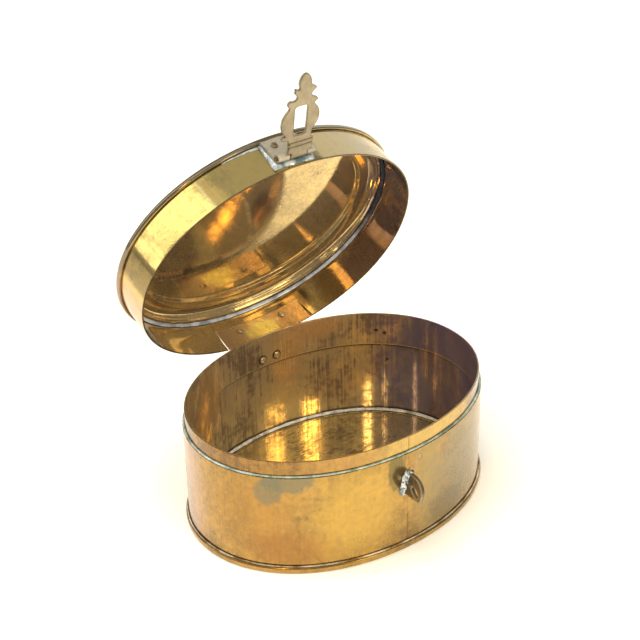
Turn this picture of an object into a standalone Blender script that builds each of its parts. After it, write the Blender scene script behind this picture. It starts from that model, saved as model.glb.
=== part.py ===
# Oval brass keepsake box with a hinged lid, a pierced hasp and a staple.
# Run with: blender --background --python part.py
# Metres, +Z up. X runs along the oval, the hasp is at -Y and the lid's hinge at +Y.

from math import acos, copysign, cos, pi, radians, sin

import bmesh
import bpy
from mathutils import Matrix, Vector

MM = 0.001

# Driving sizes of the box
BOX_LENGTH = 150.0 * MM
BOX_DEPTH = 114.0 * MM
OVAL_POWER = 2.07
WALL_SHEET = 0.9 * MM
WALL_TOP = 51.5 * MM
COLLAR_SHEET = 0.8 * MM
COLLAR_TOP = 59.4 * MM
COLLAR_BOTTOM = 41.4 * MM
BASE_SHEET = 1.0 * MM
FOOT_RIM_HEIGHT = 3.1 * MM
FOOT_RIM_SHEET = 0.9 * MM
FLOOR_INSET = 2.0 * MM
RIM_SWELL = 0.25 * MM

# Clearances
GAP = 0.3 * MM
LID_FIT = 0.4 * MM
PIN_CLEARANCE = 0.3 * MM
CURL_TURN = radians(284)
SWING_CLEARANCE = 0.3 * MM

# Driving sizes of the lid
SKIRT_SHEET = 0.8 * MM
SKIRT_HEIGHT = 20.1 * MM
LID_SHEET = 0.9 * MM
LID_RIM_HEIGHT = 2.8 * MM
LID_RIM_SHEET = 0.9 * MM
MOULD_START = 3.3 * MM
RISER_HEIGHT = 1.1 * MM
OVOLO_WIDTH = 6.6 * MM
OVOLO_HEIGHT = 3.4 * MM
RIDGE_DROP = 0.5 * MM
RIDGE_WIDTH = 1.4 * MM
PLATEAU_HEIGHT = 6.1 * MM

# Solder runs
BEAD_HEIGHT = 0.4 * MM
FOOT_BEAD = 0.65 * MM
FILLET_LEG = 1.9 * MM
PAD_THICKNESS = 0.4 * MM
STAPLE_SOLDER_RISE = 0.5 * MM

# Seams of the bent bands: where they lie and how they stand
WALL_SEAM_X = -2.0 * MM
COLLAR_SEAM_X = -1.0 * MM
SEAM_HALF_WIDTH = 0.25 * MM
SEAM_DEPTH = 0.3 * MM
LID_SEAM_Y = -9.5 * MM
LAP_STEP = 0.35 * MM
LAP_TAPER = 16.0 * MM

# Lid hinge at the back
HINGE_X = 2.5 * MM
HINGE_LENGTH = 26.0 * MM
HINGE_KNUCKLES = 5
HINGE_PIN_RADIUS = 0.8 * MM
HINGE_PIN_PROUD = 0.6 * MM
PIN_EASE = 0.2 * MM
HINGE_BARREL_RADIUS = 1.8 * MM
HINGE_ABOVE_RIM = 0.2 * MM
LEAF_SHEET = 0.9 * MM
LEAF_BLEND = 7.0 * MM
BODY_LEAF_HEIGHT = 12.0 * MM
LID_LEAF_HEIGHT = 13.0 * MM
LID_LEAF_WIDTH = 40.0 * MM
BODY_RIVET_INSETS = (7.2 * MM, 10.2 * MM)
BODY_RIVET_DROP = 6.9 * MM
LID_RIVET_INSETS = (9.1 * MM, 5.6 * MM)
LID_RIVET_RISE = 9.1 * MM
SEAT_PLATE_LEFT = -20.4 * MM
SEAT_PLATE_RIGHT = 27.8 * MM
SEAT_PLATE_HEIGHT = 13.2 * MM
LID_OPEN_ANGLE = radians(70.8)

# Rivets
RIVET_SHANK_RADIUS = 0.95 * MM
RIVET_HEAD_RADIUS = 1.75 * MM
RIVET_HEAD_RISE = 0.9 * MM
DRILL_DEPTH = 4.5 * MM

# Hasp and its hinge at the front
HASP_X = -0.5 * MM
HASP_PIN_RISE = 4.6 * MM
HASP_PIN_RADIUS = 0.8 * MM
HASP_BARREL_RADIUS = 1.9 * MM
HASP_KNUCKLE = 8.8 * MM
HASP_LEFT_KNUCKLE = 6.2 * MM
HASP_RIGHT_KNUCKLE = 4.6 * MM
HASP_PIN_PROUD = 0.9 * MM
HASP_SHEET = 1.0 * MM
HASP_LEAF_TOP = 18.0 * MM
HASP_LEAF_CHAMFER = 2.2 * MM
HASP_LEAF_RIVET_X = -6.2 * MM
HASP_LEAF_RIVET_RISE = 13.6 * MM
HASP_LEAN = radians(5.5)
HASP_RAISED_ANGLE = radians(92.0)
HASP_LENGTH = 44.5 * MM
BAND_HALF_WIDTH = 6.4 * MM
BAND_LENGTH = 9.0 * MM
SHOULDER_CUT = 1.2 * MM
SCROLL_RIGHT = (0.0 * MM, 20.6 * MM)
SCROLL_RIGHT_REACH = (8.9 * MM, 8.8 * MM)
SCROLL_LEFT = (-2.6 * MM, 19.3 * MM)
SCROLL_LEFT_REACH = (8.4 * MM, 8.9 * MM)
SLOT_START = 11.8 * MM
SLOT_END = 27.9 * MM
SLOT_HALF_WIDTH = 3.4 * MM
SLOT_SHIFT = -1.0 * MM
SLOT_CORNER = 1.6 * MM
BULB_HALF_WIDTH = 3.2 * MM
BULB_HEIGHT = 5.6 * MM
UPPER_BALL = (-6.8 * MM, 29.7 * MM)
UPPER_BALL_RADIUS = 1.7 * MM
LOWER_BALL = (-9.0 * MM, 11.6 * MM)
LOWER_BALL_RADIUS = 1.4 * MM
REED_RADIUS = 0.55 * MM
REED_SINK = 0.08 * MM
REED_PLACES = (5.4 * MM, 7.8 * MM)

# Staple on the wall's front
STAPLE_X = -2.6 * MM
STAPLE_MIDDLE = 35.9 * MM
STAPLE_TILT = radians(17.0)
STAPLE_ROOT = 10.0 * MM
STAPLE_REACH = 11.4 * MM
STAPLE_THICKNESS = 2.4 * MM
STAPLE_SHOULDER = 3.0 * MM
STAPLE_BELLY = 2.4 * MM
STAPLE_TIP_RADIUS = 1.8 * MM
STAPLE_EYE_LENGTH = 6.4 * MM
STAPLE_EYE_WIDTH = 2.6 * MM
STAPLE_EYE_REACH = 6.6 * MM
STAPLE_EYE_DROP = 1.5 * MM
STAPLE_EYE_LEAN = radians(-33.0)
TENON_HEIGHT = 6.0 * MM
TENON_PROUD = 1.0 * MM

# The hasp's spurs and notches, across and along from the pin
SPURS_RIGHT = [(x * MM, z * MM) for x, z in (
    (5.7, 27.5), (6.1, 28.1), (7.3, 29.1), (7.4, 29.8), (6.8, 30.4), (5.3, 31.2), (4.1, 32.1),
    (3.8, 33.0), (4.1, 33.8), (5.3, 35.0), (6.2, 35.8), (5.9, 36.5), (4.7, 37.2), (3.6, 38.0))]
SPURS_LEFT = [(x * MM, z * MM) for x, z in (
    (-2.7, 37.6), (-2.6, 37.0), (-3.0, 36.5), (-3.8, 36.7), (-4.3, 37.2), (-5.0, 37.2), (-5.2, 36.6),
    (-4.8, 36.0), (-5.2, 35.3), (-5.0, 34.6), (-4.0, 33.8), (-3.6, 33.0), (-3.7, 31.9), (-4.4, 31.2))]
BALL_NECK = [(x * MM, z * MM) for x, z in ((-7.2, 27.4), (-7.5, 26.7))]
LOBE_NECK = [(x * MM, z * MM) for x, z in ((-7.5, 10.2), (-6.8, 9.7))]

# The solder bed's uneven edge: across from the hasp's middle and up from the lid's rim
SOLDER_BED = [(x * MM, z * MM) for x, z in (
    (-11.7, 1.8), (-5.5, 1.1), (2.5, 0.8), (8.9, 1.0), (10.1, 7.0), (9.4, 13.0), (9.1, 18.2),
    (0.5, 18.0), (-9.9, 18.2), (-10.5, 11.0))]

# How finely round forms are divided
OVAL_STEPS = 72
ROUND_STEPS = 20
RIVET_STEPS = 12
CURVE_STEPS = 6
CURL_STEPS = 14
LEAF_ROWS = 4
SEAT_STEPS = 10

# Sizes that follow from the ones above
HALF_LENGTH = BOX_LENGTH / 2
HALF_DEPTH = BOX_DEPTH / 2
WALL_BOTTOM = BASE_SHEET + GAP
COLLAR_OUT = -WALL_SHEET - GAP
COLLAR_IN = COLLAR_OUT - COLLAR_SHEET
SKIRT_IN = COLLAR_OUT + LID_FIT
SKIRT_OUT = SKIRT_IN + SKIRT_SHEET
LID_RIM = WALL_TOP + GAP + BEAD_HEIGHT + GAP
SKIRT_TOP = LID_RIM + SKIRT_HEIGHT
LID_UNDER = SKIRT_TOP + GAP
LID_FLANGE_BOTTOM = LID_UNDER + LID_SHEET - LID_RIM_HEIGHT
HINGE_Y = HALF_DEPTH + GAP + HINGE_BARREL_RADIUS
HINGE_Z = LID_RIM + HINGE_ABOVE_RIM
PAD_OUT = SKIRT_OUT + GAP + PAD_THICKNESS
HASP_FLAT = PAD_OUT + GAP
HASP_PIN_Y = -(HALF_DEPTH + HASP_FLAT + HASP_BARREL_RADIUS)
HASP_PIN_Z = LID_RIM + HASP_PIN_RISE
HASP_SWING = HASP_BARREL_RADIUS + SWING_CLEARANCE

# Finishes: base colour, roughness and metallic value
AGED_BRASS = ((0.56, 0.36, 0.12), 0.34, 1.0)
GOLDEN_BRASS = ((0.68, 0.44, 0.15), 0.28, 1.0)
DARK_BRASS = ((0.25, 0.17, 0.09), 0.42, 1.0)
COPPERY_BRASS = ((0.60, 0.31, 0.12), 0.36, 1.0)
RAW_BRASS = ((0.42, 0.31, 0.17), 0.45, 1.0)
SOFT_SOLDER = ((0.60, 0.62, 0.62), 0.36, 1.0)
DRAWN_WIRE = ((0.38, 0.28, 0.14), 0.38, 1.0)


def clear_scene():
    """Start from an empty scene."""
    for thing in list(bpy.data.objects):
        bpy.data.objects.remove(thing, do_unlink=True)


def finish_material(name, finish):
    """One Principled material for one sub-part."""
    colour, roughness, metallic = finish
    material = bpy.data.materials.new(name + "_finish")
    material.use_nodes = True
    shader = material.node_tree.nodes["Principled BSDF"]
    shader.inputs["Base Color"].default_value = (*colour, 1.0)
    shader.inputs["Roughness"].default_value = roughness
    shader.inputs["Metallic"].default_value = metallic
    return material


def make_object(name, mesh_builder, finish=None, parent=None):
    """Turn a bmesh into a named object, smooth where it is round."""
    bmesh.ops.recalc_face_normals(mesh_builder, faces=mesh_builder.faces)
    mesh = bpy.data.meshes.new(name)
    mesh_builder.to_mesh(mesh)
    mesh_builder.free()
    mesh.shade_smooth()
    mesh.set_sharp_from_angle(angle=radians(35))
    thing = bpy.data.objects.new(name, mesh)
    bpy.context.scene.collection.objects.link(thing)
    thing.parent = parent
    if finish is None:
        thing.hide_render = True
        thing.display_type = "WIRE"
    else:
        mesh.materials.append(finish_material(name, finish))
    return thing


def make_axis(name, place, turn, parent=None):
    """An empty on a joint's axis, which the pieces it carries hang from."""
    axis = bpy.data.objects.new(name, None)
    bpy.context.scene.collection.objects.link(axis)
    axis.parent = parent
    axis.location = place
    axis.rotation_euler = (turn, 0, 0)
    return axis


def combine(thing, tools, operation):
    """Cut a piece with, or join it to, each tool in turn."""
    for tool in tools:
        modifier = thing.modifiers.new(operation.lower(), "BOOLEAN")
        modifier.operation = operation
        modifier.solver = "EXACT"
        modifier.object = tool


# The oval and the solids that follow it

def oval(angle, out, height):
    """A point of the oval, 'out' metres outside the wall's outer face."""
    along = cos(angle)
    across = sin(angle)
    x = (HALF_LENGTH + out) * copysign(abs(along) ** (2 / OVAL_POWER), along)
    y = (HALF_DEPTH + out) * copysign(abs(across) ** (2 / OVAL_POWER), across)
    return Vector((x, y, height))


def oval_y(x, out):
    """How far the oval lies from the X axis at a given x."""
    share = (abs(x) / (HALF_LENGTH + out)) ** OVAL_POWER
    return (HALF_DEPTH + out) * (1 - share) ** (1 / OVAL_POWER)


def oval_turn(x, out):
    """How far the oval's outward direction at the back leans from +Y towards +X."""
    step = 0.5 * MM
    slope = (oval_y(x + step, out) - oval_y(x - step, out)) / (2 * step)
    return -slope


def front_angle(x):
    """The oval's angle at a given x on its front side."""
    along = copysign((abs(x) / HALF_LENGTH) ** (OVAL_POWER / 2), x)
    return 2 * pi - acos(along)


def groove(seam):
    """Angles and outward shifts of a butted seam: a fine groove in the outer face."""
    half = SEAM_HALF_WIDTH / HALF_LENGTH
    return {seam - half: 0.0, seam - half / 3: -SEAM_DEPTH, seam + half / 3: -SEAM_DEPTH, seam + half: 0.0}


def lap(seam):
    """Angles and outward shifts of a scarfed seam: a step down that tapers away."""
    taper = LAP_TAPER / HALF_DEPTH
    return {seam: 0.0, seam + taper / 100: -LAP_STEP, seam + taper / 2: -LAP_STEP / 3, seam + taper: 0.0}


def ring_angles(seam):
    """Even angles round the oval, with the seam's own angles among them."""
    even = [2 * pi * step / OVAL_STEPS for step in range(OVAL_STEPS)]
    if not seam:
        return even
    low = min(seam) - pi / OVAL_STEPS
    high = max(seam) + pi / OVAL_STEPS
    return sorted([angle for angle in even if not low < angle < high] + list(seam))


def oval_solid(profile, seam=None, height_base=Vector((0, 0, 0)), capped=False):
    """Sweep a profile of (out, height) points round the oval.

    A capped profile runs from the top's middle to the bottom's middle, and its first
    and last rings are filled. Seam shifts move only the profile's outermost points.
    """
    seam = seam or {}
    outermost = max(out for out, height in profile)
    builder = bmesh.new()
    rings = []
    for out, height in profile:
        moves = seam if outermost - out < 0.1 * MM else {}
        ring = [builder.verts.new(oval(angle, out + moves.get(angle, 0.0), height) - height_base)
                for angle in ring_angles(seam)]
        rings.append(ring)
    count = len(rings[0])
    pairs = list(zip(rings, rings[1:]))
    if capped:
        builder.faces.new(rings[0])
        builder.faces.new(rings[-1])
    else:
        pairs.append((rings[-1], rings[0]))
    for lower, upper in pairs:
        for step in range(count):
            after = (step + 1) % count
            builder.faces.new((lower[step], lower[after], upper[after], upper[step]))
    return builder


def band_profile(inner, outer, bottom, top, ease_bottom=0.0, ease_top=0.0):
    """The section of a sheet band, with its top or bottom edge eased."""
    points = []
    if ease_bottom:
        points += [(inner + ease_bottom, bottom), (outer - ease_bottom, bottom), (outer, bottom + ease_bottom)]
    else:
        points += [(inner, bottom), (outer, bottom)]
    if ease_top:
        points += [(outer, top - ease_top), (outer - ease_top, top), (inner + ease_top, top)]
        points += [(inner, top - ease_top)]
    else:
        points += [(outer, top), (inner, top)]
    if ease_bottom:
        points.append((inner, bottom + ease_bottom))
    return points


def sheet_plate(xs, heights, near, far, origin):
    """A thin plate over a grid of x places and heights; near and far give its two faces' y."""
    builder = bmesh.new()
    skins = []
    for face in (near, far):
        skins.append([[builder.verts.new(Vector((x, face(x, height), height)) - origin) for x in xs]
                      for height in heights])
    rows = len(heights) - 1
    steps = len(xs) - 1
    for skin in skins:
        for row in range(rows):
            for step in range(steps):
                builder.faces.new((skin[row][step], skin[row][step + 1],
                                   skin[row + 1][step + 1], skin[row + 1][step]))
    edge = [(0, step) for step in range(steps)]
    edge += [(row, steps) for row in range(rows)]
    edge += [(rows, step) for step in range(steps, 0, -1)]
    edge += [(row, 0) for row in range(rows, 0, -1)]
    for (row, step), (next_row, next_step) in zip(edge, edge[1:] + edge[:1]):
        builder.faces.new((skins[0][row][step], skins[0][next_row][next_step],
                           skins[1][next_row][next_step], skins[1][row][step]))
    return builder


def add_curl(builder, span, start, axis, wall, radius, bore):
    """Carry the plate's edge face at z = start round the pin's axis as a curled knuckle.

    axis is (y, z), wall is -1 or +1 for the side on which the plate's back lies, and
    the curl's end stops a little short of the plate that it comes from.
    """
    axis_y, axis_z = axis
    side = copysign(1.0, start - axis_z)
    near_span = [vertex for vertex in builder.verts
                 if abs(vertex.co.z - start) < 1e-6
                 and min(abs(vertex.co.x - x) for x in span) < 1e-6]
    ring = sorted(near_span, key=lambda vertex: (-wall * vertex.co.y, vertex.co.x))
    ring = [ring[0], ring[1], ring[3], ring[2]]
    edge_face = [face for face in ring[0].link_faces if all(vertex in face.verts for vertex in ring)]
    bmesh.ops.delete(builder, geom=edge_face, context="FACES_ONLY")
    for step in range(CURL_STEPS + 1):
        turn = CURL_TURN * step / CURL_STEPS
        after = []
        for x, reach in ((span[0], radius), (span[1], radius), (span[1], bore), (span[0], bore)):
            after.append(builder.verts.new((x, axis_y + wall * reach * cos(turn),
                                            axis_z - side * reach * sin(turn))))
        for index in range(4):
            follow = (index + 1) % 4
            builder.faces.new((ring[index], ring[follow], after[follow], after[index]))
        ring = after
    builder.faces.new(ring)


def box_solid(low, high):
    """A plain block between two corners."""
    builder = bmesh.new()
    bmesh.ops.create_cube(builder, size=1.0)
    size = Vector(high) - Vector(low)
    middle = (Vector(high) + Vector(low)) / 2
    bmesh.ops.transform(builder, matrix=Matrix.Translation(middle) @ Matrix.Diagonal((*size, 1.0)),
                        verts=builder.verts)
    return builder


def turned_solid(profile, steps, matrix=None):
    """Revolve (radius, height) points round Z; the ends close on the axis."""
    builder = bmesh.new()
    rings = []
    for radius, height in profile:
        rings.append([builder.verts.new((radius * cos(2 * pi * step / steps),
                                         radius * sin(2 * pi * step / steps), height))
                      for step in range(steps)])
    for lower, upper in zip(rings, rings[1:]):
        for step in range(steps):
            after = (step + 1) % steps
            builder.faces.new((lower[step], lower[after], upper[after], upper[step]))
    builder.faces.new(rings[0])
    builder.faces.new(rings[-1])
    if matrix is not None:
        bmesh.ops.transform(builder, matrix=matrix, verts=builder.verts)
    return builder


def rod_along_x(left, right, radius, y, z, ease=0.0):
    """A round rod along X between two ends, its ends eased."""
    turn = Matrix.Translation((left, y, z)) @ Matrix.Rotation(pi / 2, 4, "Y")
    length = right - left
    profile = [(radius, 0.0), (radius, length)]
    if ease:
        profile = [(radius - ease, 0.0), (radius, ease), (radius, length - ease), (radius - ease, length)]
    return turned_solid(profile, ROUND_STEPS, turn)


def outline_solid(outline, holes, thickness):
    """Extrude a flat outline with holes in the XZ plane along +Y."""
    builder = bmesh.new()
    edges = []
    for loop in [outline] + holes:
        ring = [builder.verts.new((x, 0.0, z)) for x, z in loop]
        for start, end in zip(ring, ring[1:] + ring[:1]):
            edges.append(builder.edges.new((start, end)))
    bmesh.ops.triangle_fill(builder, edges=edges, use_beauty=True, use_dissolve=False)
    faces = builder.faces[:]
    grown = bmesh.ops.extrude_face_region(builder, geom=faces, use_keep_orig=True)
    moved = [item for item in grown["geom"] if isinstance(item, bmesh.types.BMVert)]
    bmesh.ops.translate(builder, verts=moved, vec=(0, thickness, 0))
    return builder


def arc(centre, radius_x, radius_z, start, end, steps):
    """Points along an elliptical arc, angles in degrees."""
    points = []
    for step in range(steps + 1):
        angle = radians(start + (end - start) * step / steps)
        points.append((centre[0] + radius_x * cos(angle), centre[1] + radius_z * sin(angle)))
    return points


def rounded(corners, radius, steps=3):
    """A closed outline whose corners are rounded with short arcs."""
    points = []
    count = len(corners)
    for index, corner in enumerate(corners):
        here = Vector(corner)
        before = (Vector(corners[index - 1]) - here)
        after = (Vector(corners[(index + 1) % count]) - here)
        reach = min(radius, before.length * 0.45, after.length * 0.45)
        start = here + before.normalized() * reach
        end = here + after.normalized() * reach
        for step in range(steps + 1):
            share = step / steps
            first = start.lerp(here, share)
            second = here.lerp(end, share)
            points.append(tuple(first.lerp(second, share)))
    return points


def soften(thing, width):
    """Ease the sharp edges of a filed piece."""
    modifier = thing.modifiers.new("eased_edges", "BEVEL")
    modifier.width = width
    modifier.segments = 1
    modifier.limit_method = "ANGLE"
    modifier.angle_limit = radians(50)


def rivet(name, surface, outward, grip, finish, parent=None):
    """A shank with a domed head at each end, centred on the sheets that it holds.

    surface is the point on the outermost sheet, outward its normal, grip the stack.
    """
    half = RIVET_SHANK_RADIUS
    head = RIVET_HEAD_RADIUS
    rise = RIVET_HEAD_RISE
    low = -grip - GAP
    high = GAP
    profile = [(head * 0.35, low - rise), (head * 0.8, low - rise * 0.65), (head, low - rise * 0.1),
               (head * 0.95, low), (half, low), (half, high), (head * 0.95, high),
               (head, high + rise * 0.1), (head * 0.8, high + rise * 0.65), (head * 0.35, high + rise)]
    turn = Vector((0, 0, 1)).rotation_difference(Vector(outward)).to_matrix().to_4x4()
    return make_object(name, turned_solid(profile, RIVET_STEPS, Matrix.Translation(surface) @ turn),
                       finish, parent)


def hole(name, surface, outward, radius, depth, parent=None):
    """A round cutter through a stack of sheets."""
    turn = Vector((0, 0, 1)).rotation_difference(Vector(outward)).to_matrix().to_4x4()
    profile = [(radius, -depth), (radius, depth)]
    return make_object(name, turned_solid(profile, RIVET_STEPS, Matrix.Translation(surface) @ turn),
                       None, parent)


def back_place(x, out, height, origin):
    """A point on the oval's back and the outward direction there."""
    lean = oval_turn(x, out)
    outward = Vector((lean, 1.0, 0.0)).normalized()
    return Vector((x, oval_y(x, out), height)) - origin, outward


# Lid hinge

def knuckle_spans(which):
    """The x spans of the barrel's knuckles: even ones are the box's, odd ones the lid's."""
    pitch = (HINGE_LENGTH + GAP) / HINGE_KNUCKLES
    left = HINGE_X - HINGE_LENGTH / 2
    spans = []
    for index in range(HINGE_KNUCKLES):
        if index % 2 == which:
            spans.append((left + index * pitch, left + (index + 1) * pitch - GAP))
    return spans


def hinge_leaf(name, which, left, right, reach, origin, rivet_places, parent=None):
    """A hinge leaf: a plate bent to the oval, flat near the barrel, and its curled knuckles."""
    side = -1 if which == 0 else 1
    start = HINGE_BARREL_RADIUS + SWING_CLEARANCE
    spans = knuckle_spans(which)
    barrel_left = HINGE_X - HINGE_LENGTH / 2
    barrel_right = HINGE_X + HINGE_LENGTH / 2
    xs = {left, right, barrel_left, barrel_right}
    xs |= {(left + barrel_left) / 2, (right + barrel_right) / 2}
    xs |= {x for span in spans for x in span}
    xs = sorted(xs)
    xs = [x for x, before in zip(xs, [left - MM] + xs) if x - before > MM / 100]
    heights = [HINGE_Z + side * (start + (reach - start) * row / LEAF_ROWS) for row in range(LEAF_ROWS + 1)]

    def face(out):
        def place(x, height):
            bent = min(1.0, (abs(height - HINGE_Z) - start) / LEAF_BLEND)
            return oval_y(x, out) * bent + (HALF_DEPTH + out) * (1 - bent)
        return place

    builder = sheet_plate(xs, heights, face(GAP), face(GAP + LEAF_SHEET), origin)
    axis = (HINGE_Y - origin.y, HINGE_Z - origin.z)
    for span in spans:
        add_curl(builder, span, heights[0] - origin.z, axis, -1, HINGE_BARREL_RADIUS,
                 HINGE_PIN_RADIUS + PIN_CLEARANCE)
    leaf = make_object(name, builder, AGED_BRASS, parent)
    cutters = []
    for number, (place, outward) in enumerate(rivet_places):
        cutters.append(hole("%s_hole_%d" % (name, number), place, outward,
                            RIVET_SHANK_RADIUS + GAP, DRILL_DEPTH, parent))
    combine(leaf, cutters, "DIFFERENCE")
    return cutters


# The box

def base_profile():
    """The base: one sheet whose edge is turned up round the wall, swelling slightly."""
    inner = GAP
    outer = GAP + FOOT_RIM_SHEET
    return [(-FLOOR_INSET, BASE_SHEET), (inner, BASE_SHEET), (inner, FOOT_RIM_HEIGHT),
            (outer - 0.25 * MM, FOOT_RIM_HEIGHT), (outer + RIM_SWELL * 0.7, FOOT_RIM_HEIGHT - 0.45 * MM),
            (outer + RIM_SWELL, FOOT_RIM_HEIGHT / 2), (outer + RIM_SWELL * 0.5, 0.45 * MM),
            (outer - 0.4 * MM, 0.0)]


def build_box():
    """The wall, collar and base, with the solder runs that join them."""
    front_seam = groove(front_angle(WALL_SEAM_X))
    collar_seam = groove(front_angle(COLLAR_SEAM_X))
    world = Vector((0, 0, 0))
    wall = make_object("body_wall", oval_solid(
        band_profile(-WALL_SHEET, 0.0, WALL_BOTTOM, WALL_TOP), front_seam), AGED_BRASS)
    collar = make_object("rim_collar", oval_solid(
        band_profile(COLLAR_IN, COLLAR_OUT, COLLAR_BOTTOM, COLLAR_TOP, 0.0, 0.25 * MM), collar_seam),
        GOLDEN_BRASS)
    make_object("base_plate", oval_solid(base_profile(), capped=True), AGED_BRASS)
    bead_bottom = WALL_TOP + GAP
    make_object("collar_solder_bead", oval_solid(
        [(-WALL_SHEET, bead_bottom), (-0.05 * MM, bead_bottom), (-0.05 * MM, bead_bottom + BEAD_HEIGHT * 0.5),
         (-0.3 * MM, bead_bottom + BEAD_HEIGHT), (-WALL_SHEET, bead_bottom + BEAD_HEIGHT)]), SOFT_SOLDER)
    foot_bead = FOOT_RIM_HEIGHT + GAP
    make_object("foot_solder_bead", oval_solid(
        [(GAP, foot_bead), (GAP + FOOT_BEAD, foot_bead), (GAP + FOOT_BEAD * 0.6, foot_bead + FOOT_BEAD * 0.7),
         (GAP, foot_bead + FOOT_BEAD)]), SOFT_SOLDER)
    fillet_face = -WALL_SHEET - GAP
    fillet_floor = BASE_SHEET + GAP
    make_object("floor_solder_fillet", oval_solid(
        [(fillet_face, fillet_floor), (fillet_face, fillet_floor + FILLET_LEG),
         (fillet_face - FILLET_LEG * 0.4, fillet_floor + FILLET_LEG * 0.35),
         (fillet_face - FILLET_LEG, fillet_floor)]), SOFT_SOLDER)

    rivet_height = LID_RIM - BODY_RIVET_DROP
    left = HINGE_X - HINGE_LENGTH / 2
    right = HINGE_X + HINGE_LENGTH / 2
    places = [back_place(x, GAP + LEAF_SHEET, rivet_height, world)
              for x in (left + BODY_RIVET_INSETS[0], right - BODY_RIVET_INSETS[1])]
    cutters = hinge_leaf("hinge_body_leaf", 0, left, right, BODY_LEAF_HEIGHT, world, places)
    combine(wall, cutters, "DIFFERENCE")
    combine(collar, cutters, "DIFFERENCE")
    grip = GAP + LEAF_SHEET - COLLAR_IN
    for name, (place, outward) in zip(("body_hinge_rivet_left", "body_hinge_rivet_right"), places):
        rivet(name, place, outward, grip, DARK_BRASS)
    pin = rod_along_x(left - HINGE_PIN_PROUD, right + HINGE_PIN_PROUD, HINGE_PIN_RADIUS,
                      HINGE_Y, HINGE_Z, PIN_EASE)
    make_object("hinge_pin", pin, DRAWN_WIRE)
    return wall


# The staple

def tilted_frame(out):
    """The staple's own frame: X across its thickness, Z along its root, -Y outwards."""
    place = Vector((STAPLE_X, -oval_y(STAPLE_X, out), STAPLE_MIDDLE))
    return Matrix.Translation(place) @ Matrix.Rotation(STAPLE_TILT, 4, "Y")


def build_staple(wall):
    """An eyed plate standing out of the wall on a tenon, with the solder round its root."""
    half = STAPLE_ROOT / 2
    reach = STAPLE_REACH
    tenon = TENON_HEIGHT / 2
    inside = -(WALL_SHEET + TENON_PROUD)
    shoulder = GAP
    tip = STAPLE_TIP_RADIUS
    plate = arc((reach - tip, tip - half), tip, tip, -90, 0, 3)
    plate += arc((STAPLE_SHOULDER, -STAPLE_BELLY), reach - STAPLE_SHOULDER, half + STAPLE_BELLY, 8, 90, 8)
    outline = [(shoulder, half), (shoulder, tenon), (inside, tenon), (inside, -tenon), (shoulder, -tenon),
               (shoulder, -half)]
    eye = []
    for x, z in arc((0, 0), STAPLE_EYE_LENGTH / 2, STAPLE_EYE_WIDTH / 2, 0, 330, 11):
        eye.append((STAPLE_EYE_REACH + x * cos(STAPLE_EYE_LEAN) - z * sin(STAPLE_EYE_LEAN),
                    -STAPLE_EYE_DROP + x * sin(STAPLE_EYE_LEAN) + z * cos(STAPLE_EYE_LEAN)))
    builder = outline_solid(plate + outline, [eye], STAPLE_THICKNESS)
    # The outline's x runs outwards (-Y), its z along the root and its depth across X
    stand = Matrix(((0, 1, 0, -STAPLE_THICKNESS / 2), (-1, 0, 0, 0), (0, 0, 1, 0), (0, 0, 0, 1)))
    bmesh.ops.transform(builder, matrix=tilted_frame(0.0) @ stand, verts=builder.verts)
    staple = make_object("staple", builder, RAW_BRASS)
    soften(staple, 0.25 * MM)

    slot = box_solid((-STAPLE_THICKNESS / 2 - GAP, -3 * MM, -tenon - GAP),
                     (STAPLE_THICKNESS / 2 + GAP, 3 * MM, tenon + GAP))
    bmesh.ops.transform(slot, matrix=tilted_frame(0.0), verts=slot.verts)
    combine(wall, [make_object("staple_slot", slot, None)], "DIFFERENCE")

    # Rough ring of solder: three loops round the plate, lumpy by a sum of sines
    builder = bmesh.new()
    loops = []
    root_x = STAPLE_THICKNESS / 2 + GAP
    root_z = half + GAP
    for grow_x, grow_z, out in ((0.0, 0.0, GAP), (1.8 * MM, 1.4 * MM, GAP),
                                (1.1 * MM, 0.8 * MM, GAP + STAPLE_SOLDER_RISE * 0.7),
                                (0.0, 0.0, GAP + STAPLE_SOLDER_RISE)):
        loop = []
        for step in range(ROUND_STEPS + 4):
            angle = 2 * pi * step / (ROUND_STEPS + 4)
            lump = 1 + 0.22 * sin(5 * angle + 0.6) + 0.12 * sin(9 * angle)
            x = copysign(min(1.0, 1.6 * abs(cos(angle))), cos(angle)) * root_x + cos(angle) * grow_x * lump
            z = sin(angle) * (root_z + grow_z * lump)
            if not grow_x:
                z = copysign(min(1.0, 1.08 * abs(sin(angle))), sin(angle)) * root_z
            loop.append(builder.verts.new((x, -out, z)))
        loops.append(loop)
    count = len(loops[0])
    for near, far in zip(loops, loops[1:] + loops[:1]):
        for step in range(count):
            after = (step + 1) % count
            builder.faces.new((near[step], near[after], far[after], far[step]))
    bmesh.ops.transform(builder, matrix=tilted_frame(0.0), verts=builder.verts)
    make_object("staple_solder", builder, SOFT_SOLDER)


# The lid

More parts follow.
